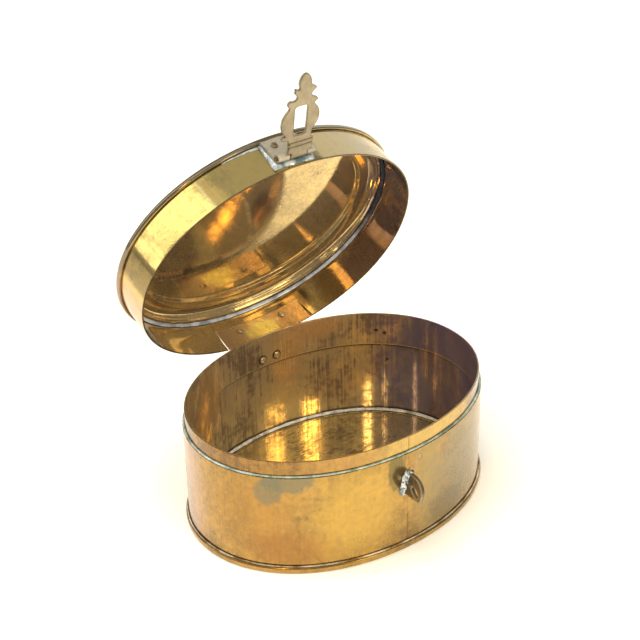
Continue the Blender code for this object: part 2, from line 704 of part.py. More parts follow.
def lid_profile():
    """The lid's sheet in section, as (out, height) from its middle under to its middle over.

    From the edge inwards: a turned-down rim, a flat seat on the skirt, a short riser,
    an ovolo, a narrow ridge and the flat plateau.
    """
    seat = LID_UNDER
    start = -MOULD_START
    under = [(SKIRT_OUT + GAP, LID_FLANGE_BOTTOM), (SKIRT_OUT + GAP, seat), (start, seat),
             (start - 0.5 * MM, seat + RISER_HEIGHT)]
    ovolo_start = start - 0.9 * MM
    for step in range(CURVE_STEPS):
        turn = pi / 2 * (step + 0.5) / CURVE_STEPS
        under.append((ovolo_start - OVOLO_WIDTH * (1 - cos(turn)),
                      seat + RISER_HEIGHT + OVOLO_HEIGHT * sin(turn)))
    ridge = ovolo_start - OVOLO_WIDTH
    crest = seat + RISER_HEIGHT + OVOLO_HEIGHT
    under += [(ridge - RIDGE_WIDTH * 0.3, crest), (ridge - RIDGE_WIDTH * 0.6, crest - RIDGE_DROP),
              (ridge - RIDGE_WIDTH, crest - RIDGE_DROP), (ridge - RIDGE_WIDTH - 0.7 * MM, seat + PLATEAU_HEIGHT - 0.3 * MM),
              (ridge - RIDGE_WIDTH - 1.5 * MM, seat + PLATEAU_HEIGHT)]
    over = []
    for (out, height) in reversed(under[3:]):
        over.append((out + LID_SHEET * 0.35, height + LID_SHEET))
    over += [(start + 0.6 * MM, seat + LID_SHEET), (SKIRT_OUT + GAP + LID_RIM_SHEET - 0.5 * MM, seat + LID_SHEET)]
    outer = SKIRT_OUT + GAP + LID_RIM_SHEET
    middle = (LID_FLANGE_BOTTOM + seat + LID_SHEET) / 2
    over += [(outer + RIM_SWELL * 0.6, seat + LID_SHEET - 0.45 * MM), (outer + RIM_SWELL, middle),
             (outer + RIM_SWELL * 0.6, LID_FLANGE_BOTTOM + 0.4 * MM), (outer - 0.25 * MM, LID_FLANGE_BOTTOM)]
    return list(reversed(under)) + list(reversed(over))


def build_lid(lid_axis, origin):
    """The skirt and top, soldered together, and the lid's half of the hinge."""
    seam = lap(pi + (-LID_SEAM_Y) / HALF_DEPTH)
    skirt = make_object("lid_skirt", oval_solid(
        band_profile(SKIRT_IN, SKIRT_OUT, LID_RIM, SKIRT_TOP, 0.2 * MM, 0.0), seam, origin),
        GOLDEN_BRASS, lid_axis)
    make_object("lid_top", oval_solid(lid_profile(), None, origin, capped=True), AGED_BRASS, lid_axis)
    face = SKIRT_IN - GAP
    ceiling = LID_UNDER - GAP
    make_object("lid_solder_fillet", oval_solid(
        [(face, ceiling), (face, ceiling - FILLET_LEG),
         (face - FILLET_LEG * 0.35, ceiling - FILLET_LEG * 0.4), (face - FILLET_LEG, ceiling)], None, origin),
        SOFT_SOLDER, lid_axis)

    # The skirt is cut away at the back for the plate that the hinge is riveted to
    notch = box_solid((SEAT_PLATE_LEFT - GAP, HALF_DEPTH * 0.7 - origin.y, LID_RIM - 1 * MM - origin.z),
                      (SEAT_PLATE_RIGHT + GAP, HALF_DEPTH + 2 * MM - origin.y,
                       LID_RIM + SEAT_PLATE_HEIGHT + GAP - origin.z))
    width = SEAT_PLATE_RIGHT - SEAT_PLATE_LEFT
    seat_xs = [SEAT_PLATE_LEFT + width * step / SEAT_STEPS for step in range(SEAT_STEPS + 1)]
    seat = make_object("hinge_seat_plate", sheet_plate(
        seat_xs, (LID_RIM, LID_RIM + SEAT_PLATE_HEIGHT), lambda x, z: oval_y(x, SKIRT_IN),
        lambda x, z: oval_y(x, SKIRT_OUT), origin), COPPERY_BRASS, lid_axis)
    combine(skirt, [make_object("seat_notch", notch, None, lid_axis)], "DIFFERENCE")

    left = HINGE_X - LID_LEAF_WIDTH / 2
    right = HINGE_X + LID_LEAF_WIDTH / 2
    places = [back_place(x, GAP + LEAF_SHEET, LID_RIM + LID_RIVET_RISE, origin)
              for x in (left + LID_RIVET_INSETS[0], right - LID_RIVET_INSETS[1])]
    cutters = hinge_leaf("hinge_lid_leaf", 1, left, right, LID_LEAF_HEIGHT, origin, places, lid_axis)
    combine(seat, cutters, "DIFFERENCE")
    grip = GAP + LEAF_SHEET - SKIRT_IN
    for name, (place, outward) in zip(("lid_hinge_rivet_left", "lid_hinge_rivet_right"), places):
        rivet(name, place, outward, grip, DARK_BRASS, lid_axis)
    return skirt


# The hasp, its leaf and its pin

def hasp_outline():
    """The pierced strap's right side runs up from the knuckle, its left side back down.

    x is across, z the distance from the pin's axis, before it is turned to hang.
    """
    band = BAND_HALF_WIDTH
    half = HASP_KNUCKLE / 2
    bulb = (0.0, HASP_LENGTH - BULB_HEIGHT)
    right = [(half, HASP_SWING), (band, HASP_SWING), (band, BAND_LENGTH),
             (band - SHOULDER_CUT, BAND_LENGTH + SHOULDER_CUT)]
    right += arc(SCROLL_RIGHT, *SCROLL_RIGHT_REACH, -50, 45, 9)
    right += SPURS_RIGHT
    right += arc(bulb, BULB_HALF_WIDTH, BULB_HEIGHT, 5, 90, 5)
    left = arc(bulb, BULB_HALF_WIDTH, BULB_HEIGHT, 105, 175, 4)
    left += SPURS_LEFT
    left += arc(UPPER_BALL, UPPER_BALL_RADIUS, UPPER_BALL_RADIUS, 50, 245, 7)
    left += BALL_NECK
    left += arc(SCROLL_LEFT, *SCROLL_LEFT_REACH, 130, 228, 9)
    left += arc(LOWER_BALL, LOWER_BALL_RADIUS, LOWER_BALL_RADIUS, 115, 285, 6)
    left += LOBE_NECK
    left += [(-band, BAND_LENGTH), (-band, HASP_SWING), (-half, HASP_SWING)]
    return right + left


def build_hasp(hasp_axis):
    """The hasp in its own frame: the pin's axis along X, hanging down -Z, its back at +Y."""
    near, far = SLOT_SHIFT - SLOT_HALF_WIDTH, SLOT_SHIFT + SLOT_HALF_WIDTH
    slot = rounded([(near, SLOT_START), (far, SLOT_START), (far, SLOT_END), (near, SLOT_END)], SLOT_CORNER)
    builder = outline_solid(hasp_outline(), [slot], -HASP_SHEET)
    # The strap's back is level with the barrel's inner side; below the knuckle it leans a little
    for vertex in builder.verts:
        vertex.co.x -= (vertex.co.z - HASP_SWING) * sin(HASP_LEAN)
        vertex.co.z = -vertex.co.z
        vertex.co.y += HASP_BARREL_RADIUS
    half = HASP_KNUCKLE / 2
    add_curl(builder, (-half, half), -HASP_SWING, (0.0, 0.0), 1, HASP_BARREL_RADIUS,
             HASP_PIN_RADIUS + PIN_CLEARANCE)
    hasp = make_object("hasp", builder, RAW_BRASS, hasp_axis)
    reeds = []
    for number, place in enumerate(REED_PLACES):
        shift = -(place - HASP_SWING) * sin(HASP_LEAN)
        reach = BAND_HALF_WIDTH - 0.3 * MM
        reed = rod_along_x(shift - reach, shift + reach, REED_RADIUS, HASP_BARREL_RADIUS - REED_SINK, -place)
        reeds.append(make_object("hasp_reed_%d" % number, reed, None, hasp_axis))
    combine(hasp, reeds, "UNION")
    return hasp


def build_hasp_mount(lid_axis, origin, skirt):
    """What carries the hasp on the skirt: a solder bed, a leaf with two knuckles, a rivet, a pin."""
    # The bed of solder, bent to the skirt, its outline uneven as it ran
    builder = outline_solid([(HASP_X + x, z) for x, z in SOLDER_BED], [], -PAD_THICKNESS)
    for vertex in builder.verts:
        out = SKIRT_OUT + GAP - vertex.co.y
        vertex.co.y = -oval_y(vertex.co.x, out)
        vertex.co.z += LID_RIM
        vertex.co -= origin
    pad = make_object("hasp_solder_pad", builder, SOFT_SOLDER, lid_axis)

    # The leaf: a flat plate above the pin, its lower edge curled into two knuckles
    half = HASP_KNUCKLE / 2
    left = HASP_X - half - GAP - HASP_LEFT_KNUCKLE
    right = HASP_X + half + GAP + HASP_RIGHT_KNUCKLE
    flat = -(HALF_DEPTH + HASP_FLAT)
    chamfer = HASP_LEAF_CHAMFER
    low = HASP_PIN_Z + HASP_SWING
    top = LID_RIM + HASP_LEAF_TOP
    inner_left = HASP_X - half - GAP
    inner_right = HASP_X + half + GAP
    outline = [(left, low), (inner_left, low), (inner_right, low), (right, low),
               (right, top - chamfer), (right - chamfer, top), (left, top)]
    builder = outline_solid(outline, [], -HASP_SHEET)
    bmesh.ops.translate(builder, verts=builder.verts, vec=Vector((0, flat, 0)) - origin)
    pin_y = HASP_PIN_Y - origin.y
    pin_z = HASP_PIN_Z - origin.z
    for span in ((left, inner_left), (inner_right, right)):
        add_curl(builder, span, low - origin.z, (pin_y, pin_z), 1, HASP_BARREL_RADIUS,
                 HASP_PIN_RADIUS + PIN_CLEARANCE)
    leaf = make_object("hasp_leaf", builder, RAW_BRASS, lid_axis)
    place = Vector((HASP_LEAF_RIVET_X, flat - HASP_SHEET, LID_RIM + HASP_LEAF_RIVET_RISE)) - origin
    outward = Vector((0, -1, 0))
    drilled = hole("hasp_leaf_hole", place, outward, RIVET_SHANK_RADIUS + GAP, DRILL_DEPTH, lid_axis)
    for sheet in (leaf, pad, skirt):
        combine(sheet, [drilled], "DIFFERENCE")
    # The skirt's inner face at the rivet, where its curve lies farthest in
    inner = -oval_y(abs(HASP_LEAF_RIVET_X) + RIVET_HEAD_RADIUS, SKIRT_IN)
    rivet("hasp_leaf_rivet", place, outward, inner - (flat - HASP_SHEET), RAW_BRASS, lid_axis)
    pin = rod_along_x(left - HASP_PIN_PROUD, right + HASP_PIN_PROUD, HASP_PIN_RADIUS, pin_y, pin_z,
                      PIN_EASE)
    make_object("hasp_pin", pin, DRAWN_WIRE, lid_axis)


def build():
    clear_scene()
    wall = build_box()
    build_staple(wall)
    lid_origin = Vector((0, HINGE_Y, HINGE_Z))
    lid_axis = make_axis("lid_axis", lid_origin, -LID_OPEN_ANGLE)
    skirt = build_lid(lid_axis, lid_origin)
    build_hasp_mount(lid_axis, lid_origin, skirt)
    hasp_place = Vector((HASP_X, HASP_PIN_Y, HASP_PIN_Z)) - lid_origin
    hasp_axis = make_axis("hasp_axis", hasp_place, -HASP_RAISED_ANGLE, lid_axis)
    build_hasp(hasp_axis)


build()
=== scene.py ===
# %% [markdown]
# # An oval brass keepsake box, as a lesson in cells
# The box is made of thin sheet brass: bent bands, pressed plates and filed fittings, held
# together with soft solder and rivets. The lid leans open and its hasp stands up. The engineering
# model is loaded first and stays fixed. Every piece here follows its sizes, with finer shapes and
# with finishes that show age.

from math import cos, pi, radians, sin

import bmesh
import bpy
import numpy as np
from mathutils import Matrix, Vector, noise


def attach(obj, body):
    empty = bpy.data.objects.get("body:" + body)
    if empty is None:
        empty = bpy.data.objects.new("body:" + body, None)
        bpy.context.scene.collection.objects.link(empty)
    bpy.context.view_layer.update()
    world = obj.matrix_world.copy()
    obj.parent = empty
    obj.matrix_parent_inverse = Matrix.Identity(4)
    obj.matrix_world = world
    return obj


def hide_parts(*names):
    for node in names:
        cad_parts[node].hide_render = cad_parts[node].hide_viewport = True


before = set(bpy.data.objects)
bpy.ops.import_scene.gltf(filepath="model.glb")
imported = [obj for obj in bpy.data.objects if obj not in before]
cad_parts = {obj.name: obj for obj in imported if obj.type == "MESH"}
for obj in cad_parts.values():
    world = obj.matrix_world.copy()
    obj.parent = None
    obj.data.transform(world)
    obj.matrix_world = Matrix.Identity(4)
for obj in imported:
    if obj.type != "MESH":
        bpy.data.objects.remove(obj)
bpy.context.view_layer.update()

# %% [markdown]
# ## Sizes
# The real box was marked out from a few sizes, and so is this one. All lengths are millimetres.
# Each piece could be modelled where the photograph shows it, but a tilted lid is hard to measure.
# So the lid is built as if shut, straight above the box, and a matrix opens it about its hinge.
# Neighbouring pieces lie a slit of 0.3 mm apart, as they do in the engineering model.

# %% Sizes of the box, in millimetres
MM = 0.001
HALF_LENGTH = 75.0
HALF_DEPTH = 57.0
OVAL_POWER = 2.07
SLIT = 0.3
WALL_SHEET = 0.9
WALL_FOOT, WALL_TOP = 1.3, 51.5
COLLAR_OUT, COLLAR_IN = -1.2, -2.0
COLLAR_FOOT, COLLAR_TOP = 41.4, 59.4
RIM = 52.5
SKIRT_IN, SKIRT_OUT = -0.8, 0.0
SKIRT_TOP = RIM + 20.1
SEAT = SKIRT_TOP + SLIT
LID_SHEET = 0.9
HINGE = Vector((2.5, 59.1, 52.7))
OPENED = 70.8

AT_HOME = Matrix.Identity(4)
LID_OPEN = (Matrix.Translation(HINGE * MM) @ Matrix.Rotation(radians(-OPENED), 4, "X")
            @ Matrix.Translation(-HINGE * MM))
print("%.0f x %.0f mm, lid opened by %.1f degrees" % (2 * HALF_LENGTH, 2 * HALF_DEPTH, OPENED))

# %% [markdown]
# ## The oval
# Every band of the box is bent round one oval former. An ellipse would be the first choice, but
# the real oval is a little squarer, so its points come from a superellipse with a power just over
# two. "out" is how far a point lies outside the wall's outer face: one number places any sheet.

# %% Points of the oval
def oval(angles, out, height):
    """Points round the oval at a distance outside the wall and a height."""
    along, across = np.cos(angles), np.sin(angles)
    x = (HALF_LENGTH + out) * np.sign(along) * np.abs(along) ** (2 / OVAL_POWER)
    y = (HALF_DEPTH + out) * np.sign(across) * np.abs(across) ** (2 / OVAL_POWER)
    return np.stack([x, y, np.full_like(x, height)], axis=1)


def oval_y(x, out):
    """The oval's distance from the long axis at a given x."""
    return (HALF_DEPTH + out) * (1 - (abs(x) / (HALF_LENGTH + out)) ** OVAL_POWER) ** (1 / OVAL_POWER)


def oval_angle(x):
    """The oval's angle at a given x on the hinge side."""
    return np.arccos(np.sign(x) * (abs(x) / HALF_LENGTH) ** (OVAL_POWER / 2))


outline = oval(np.linspace(0, 2 * pi, 721), 0.0, 0.0)
print("length round the wall: %.1f mm" % np.linalg.norm(np.diff(outline, axis=0), axis=1).sum())

# %% [markdown]
# ## The section of a sheet
# Sheet brass is cut with shears and its edges are filed, so a section is a thin oblong with eased
# corners. A bevel modifier could ease them, but short arcs in the section give clean rings to
# carry round the oval. Long stretches are divided, so that the sheet can waver later.

# %% Ease and divide a section
def rounded(points, radius=0.2, steps=3, closed=True):
    """A section whose corners are eased by short arcs."""
    result = []
    count = len(points)
    for index, point in enumerate(points):
        here = np.array(point[:2], float)
        if not closed and index in (0, count - 1):
            result.append(tuple(here))
            continue
        size = point[2] if len(point) > 2 else radius
        before = np.array(points[index - 1][:2], float) - here
        after = np.array(points[(index + 1) % count][:2], float) - here
        lengths = np.linalg.norm(before), np.linalg.norm(after)
        reach = min(size, lengths[0] * 0.45, lengths[1] * 0.45)
        start, end = here + before / lengths[0] * reach, here + after / lengths[1] * reach
        for step in range(steps + 1):
            share = step / steps
            result.append(tuple((start * (1 - share) + here * share) * (1 - share)
                                + (here * (1 - share) + end * share) * share))
    return result


def divided(points, longest):
    """A closed section with no stretch longer than a given length."""
    result = []
    for start, end in zip(points, points[1:] + points[:1]):
        start, end = np.array(start), np.array(end)
        parts = max(1, int(np.ceil(np.linalg.norm(end - start) / longest)))
        result += [tuple(start + (end - start) * part / parts) for part in range(parts)]
    return result


wall_section = divided(rounded([(-WALL_SHEET, WALL_FOOT), (0, WALL_FOOT), (0, WALL_TOP),
                                (-WALL_SHEET, WALL_TOP)]), 2.5)
print("points in the wall's section:", len(wall_section))

# %% [markdown]
# ## Bending a band
# The maker bends a strip round the former. In Blender a curve with a bevel object could do it, but
# then the bevel turns with the curve. Here the section is repeated at each angle of the oval, and
# its rings are joined with faces. Extra angles leave room for fine work at a seam, and a capped
# sweep closes over the middle, which makes a plate.

# %% Carry a section round the oval
CAP_SHARES = (0.92, 0.82, 0.7, 0.58, 0.46, 0.34, 0.22, 0.1, 0.02)


def joined(rings, size, closed):
    """Faces between rings of one size, and from the last ring to the first where closed."""
    faces = []
    for low in range(rings if closed else rings - 1):
        high = (low + 1) % rings
        for step in range(size):
            after = (step + 1) % size
            faces.append((low * size + step, low * size + after, high * size + after,
                          high * size + step))
    return faces


def sweep(section, count=288, capped=False, extra=()):
    """The points, by ring, and the faces of a section carried round the oval."""
    angles = np.arange(count) * 2 * pi / count
    angles = np.unique(np.concatenate([angles, np.array(extra, float) % (2 * pi)]))
    rings = [oval(angles, out, height) for out, height in section]
    size = len(angles)
    caps = []
    if capped:
        first, last = rings[0], rings[-1]
        rings = [first * (share, share, 1) for share in reversed(CAP_SHARES)] + rings
        rings += [last * (share, share, 1) for share in CAP_SHARES]
        caps = [tuple(range(size)), tuple(range((len(rings) - 1) * size, len(rings) * size))]
    return np.concatenate(rings), caps + joined(len(rings), size, not capped)


WALL_SEAM = 2 * pi - oval_angle(-2.0)
NEAR_SEAM = np.array([-1.2, -0.6, -0.3, -0.15, -0.05, 0.05, 0.15, 0.3, 0.6, 1.2]) / HALF_LENGTH
wall_points, wall_faces = sweep(wall_section, extra=WALL_SEAM + NEAR_SEAM)
print("points in the wall band:", len(wall_points))

# %% [markdown]
# ## The hand of the maker
# Sheet that was bent by hand is never quite true, and its ends meet in a seam that shows as a fine
# line. Both could be painted as bump, but a mirror shows its real shape. So a slow noise moves the
# points by a tenth of a millimetre, which makes the reflections swim, and the seam is pressed in.

# %% Waver a sheet and press its seam
WANDER = 0.12


def wobble(points, depth, length, seed):
    """Moves points in and out by a slow noise, as hand-worked sheet wanders."""
    result = points.copy()
    for index, point in enumerate(points):
        place = Vector(point) / length + Vector((seed * 7.3, seed * 3.1, seed * 5.7))
        outward = Vector((point[0] / HALF_LENGTH, point[1] / HALF_DEPTH, 0.0))
        if outward.length > 0.3:
            result[index] += np.array(outward.normalized() * (noise.noise(place) - 0.2) * depth)
    return result


def seam_groove(points, seam, half_width, depth, sheet_middle):
    """Presses a fine groove along a seam into the outer face of a band."""
    result = points.copy()
    centre = oval(np.array([seam]), 0.0, 0.0)[0]
    front = (points[:, 1] < 0) & (np.abs(points[:, 0] - centre[0]) < half_width * 3)
    for index in np.nonzero(front)[0]:
        x, y, z = points[index]
        if -y > oval_y(x, sheet_middle):
            wander = WANDER * noise.noise(Vector((z / 6, seam, 0)))
            share = max(0.0, 1 - abs(x - centre[0] - wander) / half_width)
            result[index, 1] += depth * share
    return result


true_points = wall_points
wall_points = seam_groove(wobble(true_points, 0.12, 26.0, 1), WALL_SEAM, 0.35, 0.3, -0.5)
print("largest move of the wall: %.2f mm" % np.abs(wall_points - true_points).max())

# %% [markdown]
# ## Colours and nodes
# Colours are written as the hex values that a paint chart would give, and one function turns them
# to the linear values that light needs. Materials could be wired by hand in the node editor, but
# a script can repeat them. One more function adds a node with its settings and its links.

# %% Colour and node helpers
def linear(code):
    """Linear red, green, blue and alpha from an sRGB hex code."""
    parts = [int(code[place:place + 2], 16) / 255 for place in (1, 3, 5)]
    return (*[part / 12.92 if part <= 0.04045 else ((part + 0.055) / 1.055) ** 2.4
              for part in parts], 1.0)


def add(tree, kind, settings=None, **sockets):
    """Adds a node, sets its properties, and sets or links its inputs by name or by number."""
    node = tree.nodes.new(kind)
    for key, value in (settings or {}).items():
        setattr(node, key, value)
    for key, value in sockets.items():
        numbered = key[0] == "i" and key[1:].isdigit()
        socket = node.inputs[int(key[1:]) if numbered else key]
        if isinstance(value, bpy.types.NodeSocket):
            tree.links.new(value, socket)
        else:
            socket.default_value = value
    return node


print("aged brass in linear light:", [round(part, 3) for part in linear("#bc9249")])

# %% [markdown]
# ## Marks in one place
# Old metal has marks that belong to one spot: a stain on the front wall, a scorch beside a
# solder joint. The same spots also lay painted light and shade: glows, highlights, and shade in
# corners and under ledges. They could be painted on an image, but a value worked out from the
# place on the piece is sharp at any size. Each mark is an egg-shaped spot, of a centre and a
# reach in millimetres, and a noise of 4 mm makes its edge ragged. The lid's pieces are turned back
# to where they lie shut, so one set of places serves box and lid.

# %% Places, stains and painted light
EDGE = 4.0


def object_place(tree, on_lid):
    """Places on the piece itself, with the open lid's pieces turned back to where they lie shut."""
    place = add(tree, "ShaderNodeTexCoord").outputs["Object"]
    if on_lid:
        shut = LID_OPEN.inverted()
        place = add(tree, "ShaderNodeMapping", Vector=place, Location=shut.to_translation(),
                    Rotation=shut.to_euler()).outputs[0]
    return place


def stain_and_light_mask(tree, place, centre, reach, ragged, soft):
    """A value from 1 inside a spot to 0 outside it, placed and sized in millimetres."""
    away = add(tree, "ShaderNodeVectorMath", {"operation": "SUBTRACT"}, i0=place,
               i1=Vector(centre) * MM)
    shares = add(tree, "ShaderNodeVectorMath", {"operation": "DIVIDE"}, i0=away.outputs[0],
                 i1=Vector(reach) * MM)
    far = add(tree, "ShaderNodeVectorMath", {"operation": "LENGTH"}, i0=shares.outputs[0])
    edge = add(tree, "ShaderNodeTexNoise", Vector=place, Scale=1 / (EDGE * MM), Detail=4.0,
               Roughness=0.6)
    moved = add(tree, "ShaderNodeMath", {"operation": "MULTIPLY_ADD"}, i0=edge.outputs[0],
                i1=ragged * 2, i2=far.outputs["Value"])
    return add(tree, "ShaderNodeMapRange", {"interpolation_type": "SMOOTHSTEP"},
               i0=moved.outputs[0], i1=1 + ragged - soft, i2=1 + ragged + soft, i3=1.0,
               i4=0.0).outputs[0]


def with_stains_and_painted_light(tree, place, colour, stains_and_painted_light):
    """Lays stains and painted light and shade over a colour: tint, amount, centre, reach, raggedness
    and softness of each.
    """
    for tint, amount, centre, reach, ragged, soft in stains_and_painted_light:
        mask = stain_and_light_mask(tree, place, centre, reach, ragged, soft)
        part = add(tree, "ShaderNodeMath", {"operation": "MULTIPLY"}, i0=mask, i1=amount)
        colour = add(tree, "ShaderNodeMix", {"data_type": "RGBA"}, i0=part.outputs[0], i6=colour,
                     i7=linear(tint)).outputs[2]
    return colour


print("waves in a mark's edge: %.0f in a metre" % (1 / (EDGE * MM)))

# %% [markdown]
# ## What brass looks like when it has aged
# Brass is copper and zinc. Rolled and polished, it is a pale gold mirror. Handled and left, it
# gathers a thin brown film that lies in clouds, with dark specks, and the polishing cloth leaves
# fine lines. One noise alone looks like smoke, so the film has several sizes: clouds of 20 mm,
# mottling of 3 mm, grain of 0.4 mm and specks 2.4 mm apart. Real polishing lines are a twentieth
# of a millimetre wide, too fine to show, so they are drawn about 1.4 mm apart and 40 mm long.

# %% Patterns of the film, with their sizes in millimetres
CLOUD, MOTTLE, GRAIN, SPECK = 20.0, 3.0, 0.4, 2.4
LINE = (1.4286, 1.4286, 40.0)


def film_patterns(tree, spot, line):
    """Noise for clouds, mottling, grain and specks, and for lines of a given size each way."""
    clouds = add(tree, "ShaderNodeTexNoise", Vector=spot, Scale=1 / (CLOUD * MM), Detail=7.0,
                 Roughness=0.62, Distortion=0.6)
    mottle = add(tree, "ShaderNodeTexNoise", Vector=spot, Scale=1 / (MOTTLE * MM), Detail=4.0,
                 Roughness=0.65)
    grain = add(tree, "ShaderNodeTexNoise", Vector=spot, Scale=1 / (GRAIN * MM), Detail=2.0)
    specks = add(tree, "ShaderNodeTexVoronoi", Vector=spot, Scale=1 / (SPECK * MM))
    drawn_out = add(tree, "ShaderNodeVectorMath", {"operation": "DIVIDE"}, i0=spot,
                    i1=Vector(line) * MM)
    lines = add(tree, "ShaderNodeTexNoise", Vector=drawn_out.outputs[0], Scale=1.0, Detail=3.0)
    return [pattern.outputs[0] for pattern in (clouds, mottle, grain, specks, lines)]


def film_share(tree, clouds, mottle, lines, share, blend, mottled, streaks):
    """How much film lies at each place: soft clouds over a share, broken up by mottle and lines."""
    middle = 0.5 + (0.5 - share) * 0.45
    cloudy = add(tree, "ShaderNodeMapRange", i0=clouds, i1=middle - blend, i2=middle + blend)
    patch = add(tree, "ShaderNodeMapRange", i0=mottle, i1=0.3, i2=0.7, i3=-mottled, i4=mottled)
    streak = add(tree, "ShaderNodeMapRange", i0=lines, i1=0.35, i2=0.65, i3=-streaks, i4=streaks)
    broken = add(tree, "ShaderNodeMath", {"operation": "ADD"}, i0=patch.outputs[0],
                 i1=streak.outputs[0])
    return add(tree, "ShaderNodeMath", {"operation": "ADD", "use_clamp": True},
               i0=cloudy.outputs[0], i1=broken.outputs[0]).outputs[0]


print("clouds, mottling, grain and specks in a metre:",
      [round(1 / (size * MM)) for size in (CLOUD, MOTTLE, GRAIN, SPECK)])

# %% [markdown]
# ## Colour and relief of the brass
# The film colours the metal far more than it roughens it, and dark specks sit only in the film.
# An edge that dirt has found is darker, and a pale edge is a painted highlight: a bevel node sees
# where the surface turns. The relief is four bumps laid on each other, from waves that
# bend a reflection to dents of a hundredth of a millimetre that break it up. A displaced mesh
# could carry them too, but it would need millions of faces.

# %% Film colours, edges and bumps
WAVE_HEIGHT, LINE_HEIGHT, GRAIN_HEIGHT = 0.6, 0.02, 0.02
GRAIN_STRENGTH = 0.1
SPECK_STRENGTH = 0.8


def film_colour(tree, film_here, specks, colours):
    """Clean metal, film and specks, mixed by how much film lies there."""
    clean, film, dark = colours
    filmed = add(tree, "ShaderNodeMix", {"data_type": "RGBA"}, i0=film_here, i6=linear(clean),
                 i7=linear(film))
    pit = add(tree, "ShaderNodeMapRange", i0=specks, i1=0.04, i2=0.12, i3=SPECK_STRENGTH, i4=0.0)
    where = add(tree, "ShaderNodeMath", {"operation": "MULTIPLY"}, i0=pit.outputs[0], i1=film_here)
    return add(tree, "ShaderNodeMix", {"data_type": "RGBA"}, i0=where.outputs[0],
               i6=filmed.outputs[2], i7=linear(dark)).outputs[2]


def edged(tree, colour, tint, amount, width):
    """Tints a colour near edges, where a rounded-off normal leaves the true one."""
    eased = add(tree, "ShaderNodeBevel", {"samples": 6}, Radius=width * MM)
    surface = add(tree, "ShaderNodeNewGeometry")
    along = add(tree, "ShaderNodeVectorMath", {"operation": "DOT_PRODUCT"}, i0=eased.outputs[0],
                i1=surface.outputs["True Normal"])
    near = add(tree, "ShaderNodeMapRange", i0=along.outputs["Value"], i1=0.97, i2=0.8, i3=0.0,
               i4=amount)
    return add(tree, "ShaderNodeMix", {"data_type": "RGBA"}, i0=near.outputs[0], i6=colour,
               i7=linear(tint)).outputs[2]


def relief(tree, layers):
    """Bumps laid on each other, each of a height value, a strength and a depth in millimetres."""
    normal = None
    for value, strength, depth in layers:
        bump = add(tree, "ShaderNodeBump", Height=value, Strength=strength, Distance=depth * MM)
        if normal:
            tree.links.new(normal, bump.inputs["Normal"])
        normal = bump.outputs[0]
    return normal


print("deepest wave %.1f mm, polishing lines %.2f mm" % (WAVE_HEIGHT, LINE_HEIGHT))

# %% [markdown]
# ## One recipe for all the brass
# A dozen places on the box show brass, from a rubbed wall to a filed hasp. Separate materials
# would drift apart, so one recipe makes them all from what differs: the colours, the share of
# film, how rough and how clouded it is, and its marks. A thin coat of old wax and dust gives every
# piece a faint grey haze. The metal keeps the default IOR.

# %% The aged brass recipe
HAZE, HAZE_ROUGHNESS = 0.6, 0.45


def aged_brass(name, colours, share, rough, body=(0.05, 0.2), line=LINE, streaks=0.12,
               mottled=0.3, blend=0.11, line_strength=0.5, wave_strength=0.15, crinkle=0.0075,
               stains_and_painted_light=(), edge=None, on_lid=False, seed=0.0):
    """Brass sheet. colours are those of the clean metal, the film, and the dark specks in it.

    share is how much of it the film covers. rough is the roughness of clean and filmed metal,
    body how far dirt hides the metal of each, and line the size of the polishing lines each way.
    blend softens the clouds, while streaks and mottled say how far lines and mottling break them
    up. crinkle is the depth of the small dents, and edge the tint, amount and width of a darker,
    dirty edge or of a painted highlight along the edges. seed moves the patterns, so that no two
    finishes match.
    """
    material = bpy.data.materials.new(name)
    material.use_nodes = True
    tree = material.node_tree
    shader = tree.nodes["Principled BSDF"]
    place = object_place(tree, on_lid)
    spot = add(tree, "ShaderNodeVectorMath", {"operation": "ADD"}, i0=place,
               i1=(seed, seed * 0.7, seed * 0.4)).outputs[0]
    clouds, mottle, grain, specks, lines = film_patterns(tree, spot, line)
    film_here = film_share(tree, clouds, mottle, lines, share, blend, mottled, streaks)
    colour = with_stains_and_painted_light(tree, place, film_colour(tree, film_here, specks, colours), stains_and_painted_light)
    if edge:
        colour = edged(tree, colour, *edge)
    tree.links.new(colour, shader.inputs["Base Color"])
    metal = add(tree, "ShaderNodeMapRange", i0=film_here, i3=1.0 - body[0], i4=1.0 - body[1])
    tree.links.new(metal.outputs[0], shader.inputs["Metallic"])
    dull = add(tree, "ShaderNodeMapRange", i0=film_here, i3=rough[0], i4=rough[1])
    worn = add(tree, "ShaderNodeMath", {"operation": "MULTIPLY_ADD"}, i0=lines, i1=0.04,
               i2=dull.outputs[0])
    tree.links.new(worn.outputs[0], shader.inputs["Roughness"])
    shader.inputs["Coat Weight"].default_value = HAZE
    shader.inputs["Coat Roughness"].default_value = HAZE_ROUGHNESS
    normal = relief(tree, [(clouds, wave_strength, WAVE_HEIGHT), (lines, line_strength, LINE_HEIGHT),
                           (mottle, 1.0, crinkle), (grain, GRAIN_STRENGTH, GRAIN_HEIGHT)])
    tree.links.new(normal, shader.inputs["Normal"])
    print("%-28s %3d nodes" % (name, len(tree.nodes)))
    return material


print("haze: weight %.1f, roughness %.2f" % (HAZE, HAZE_ROUGHNESS))
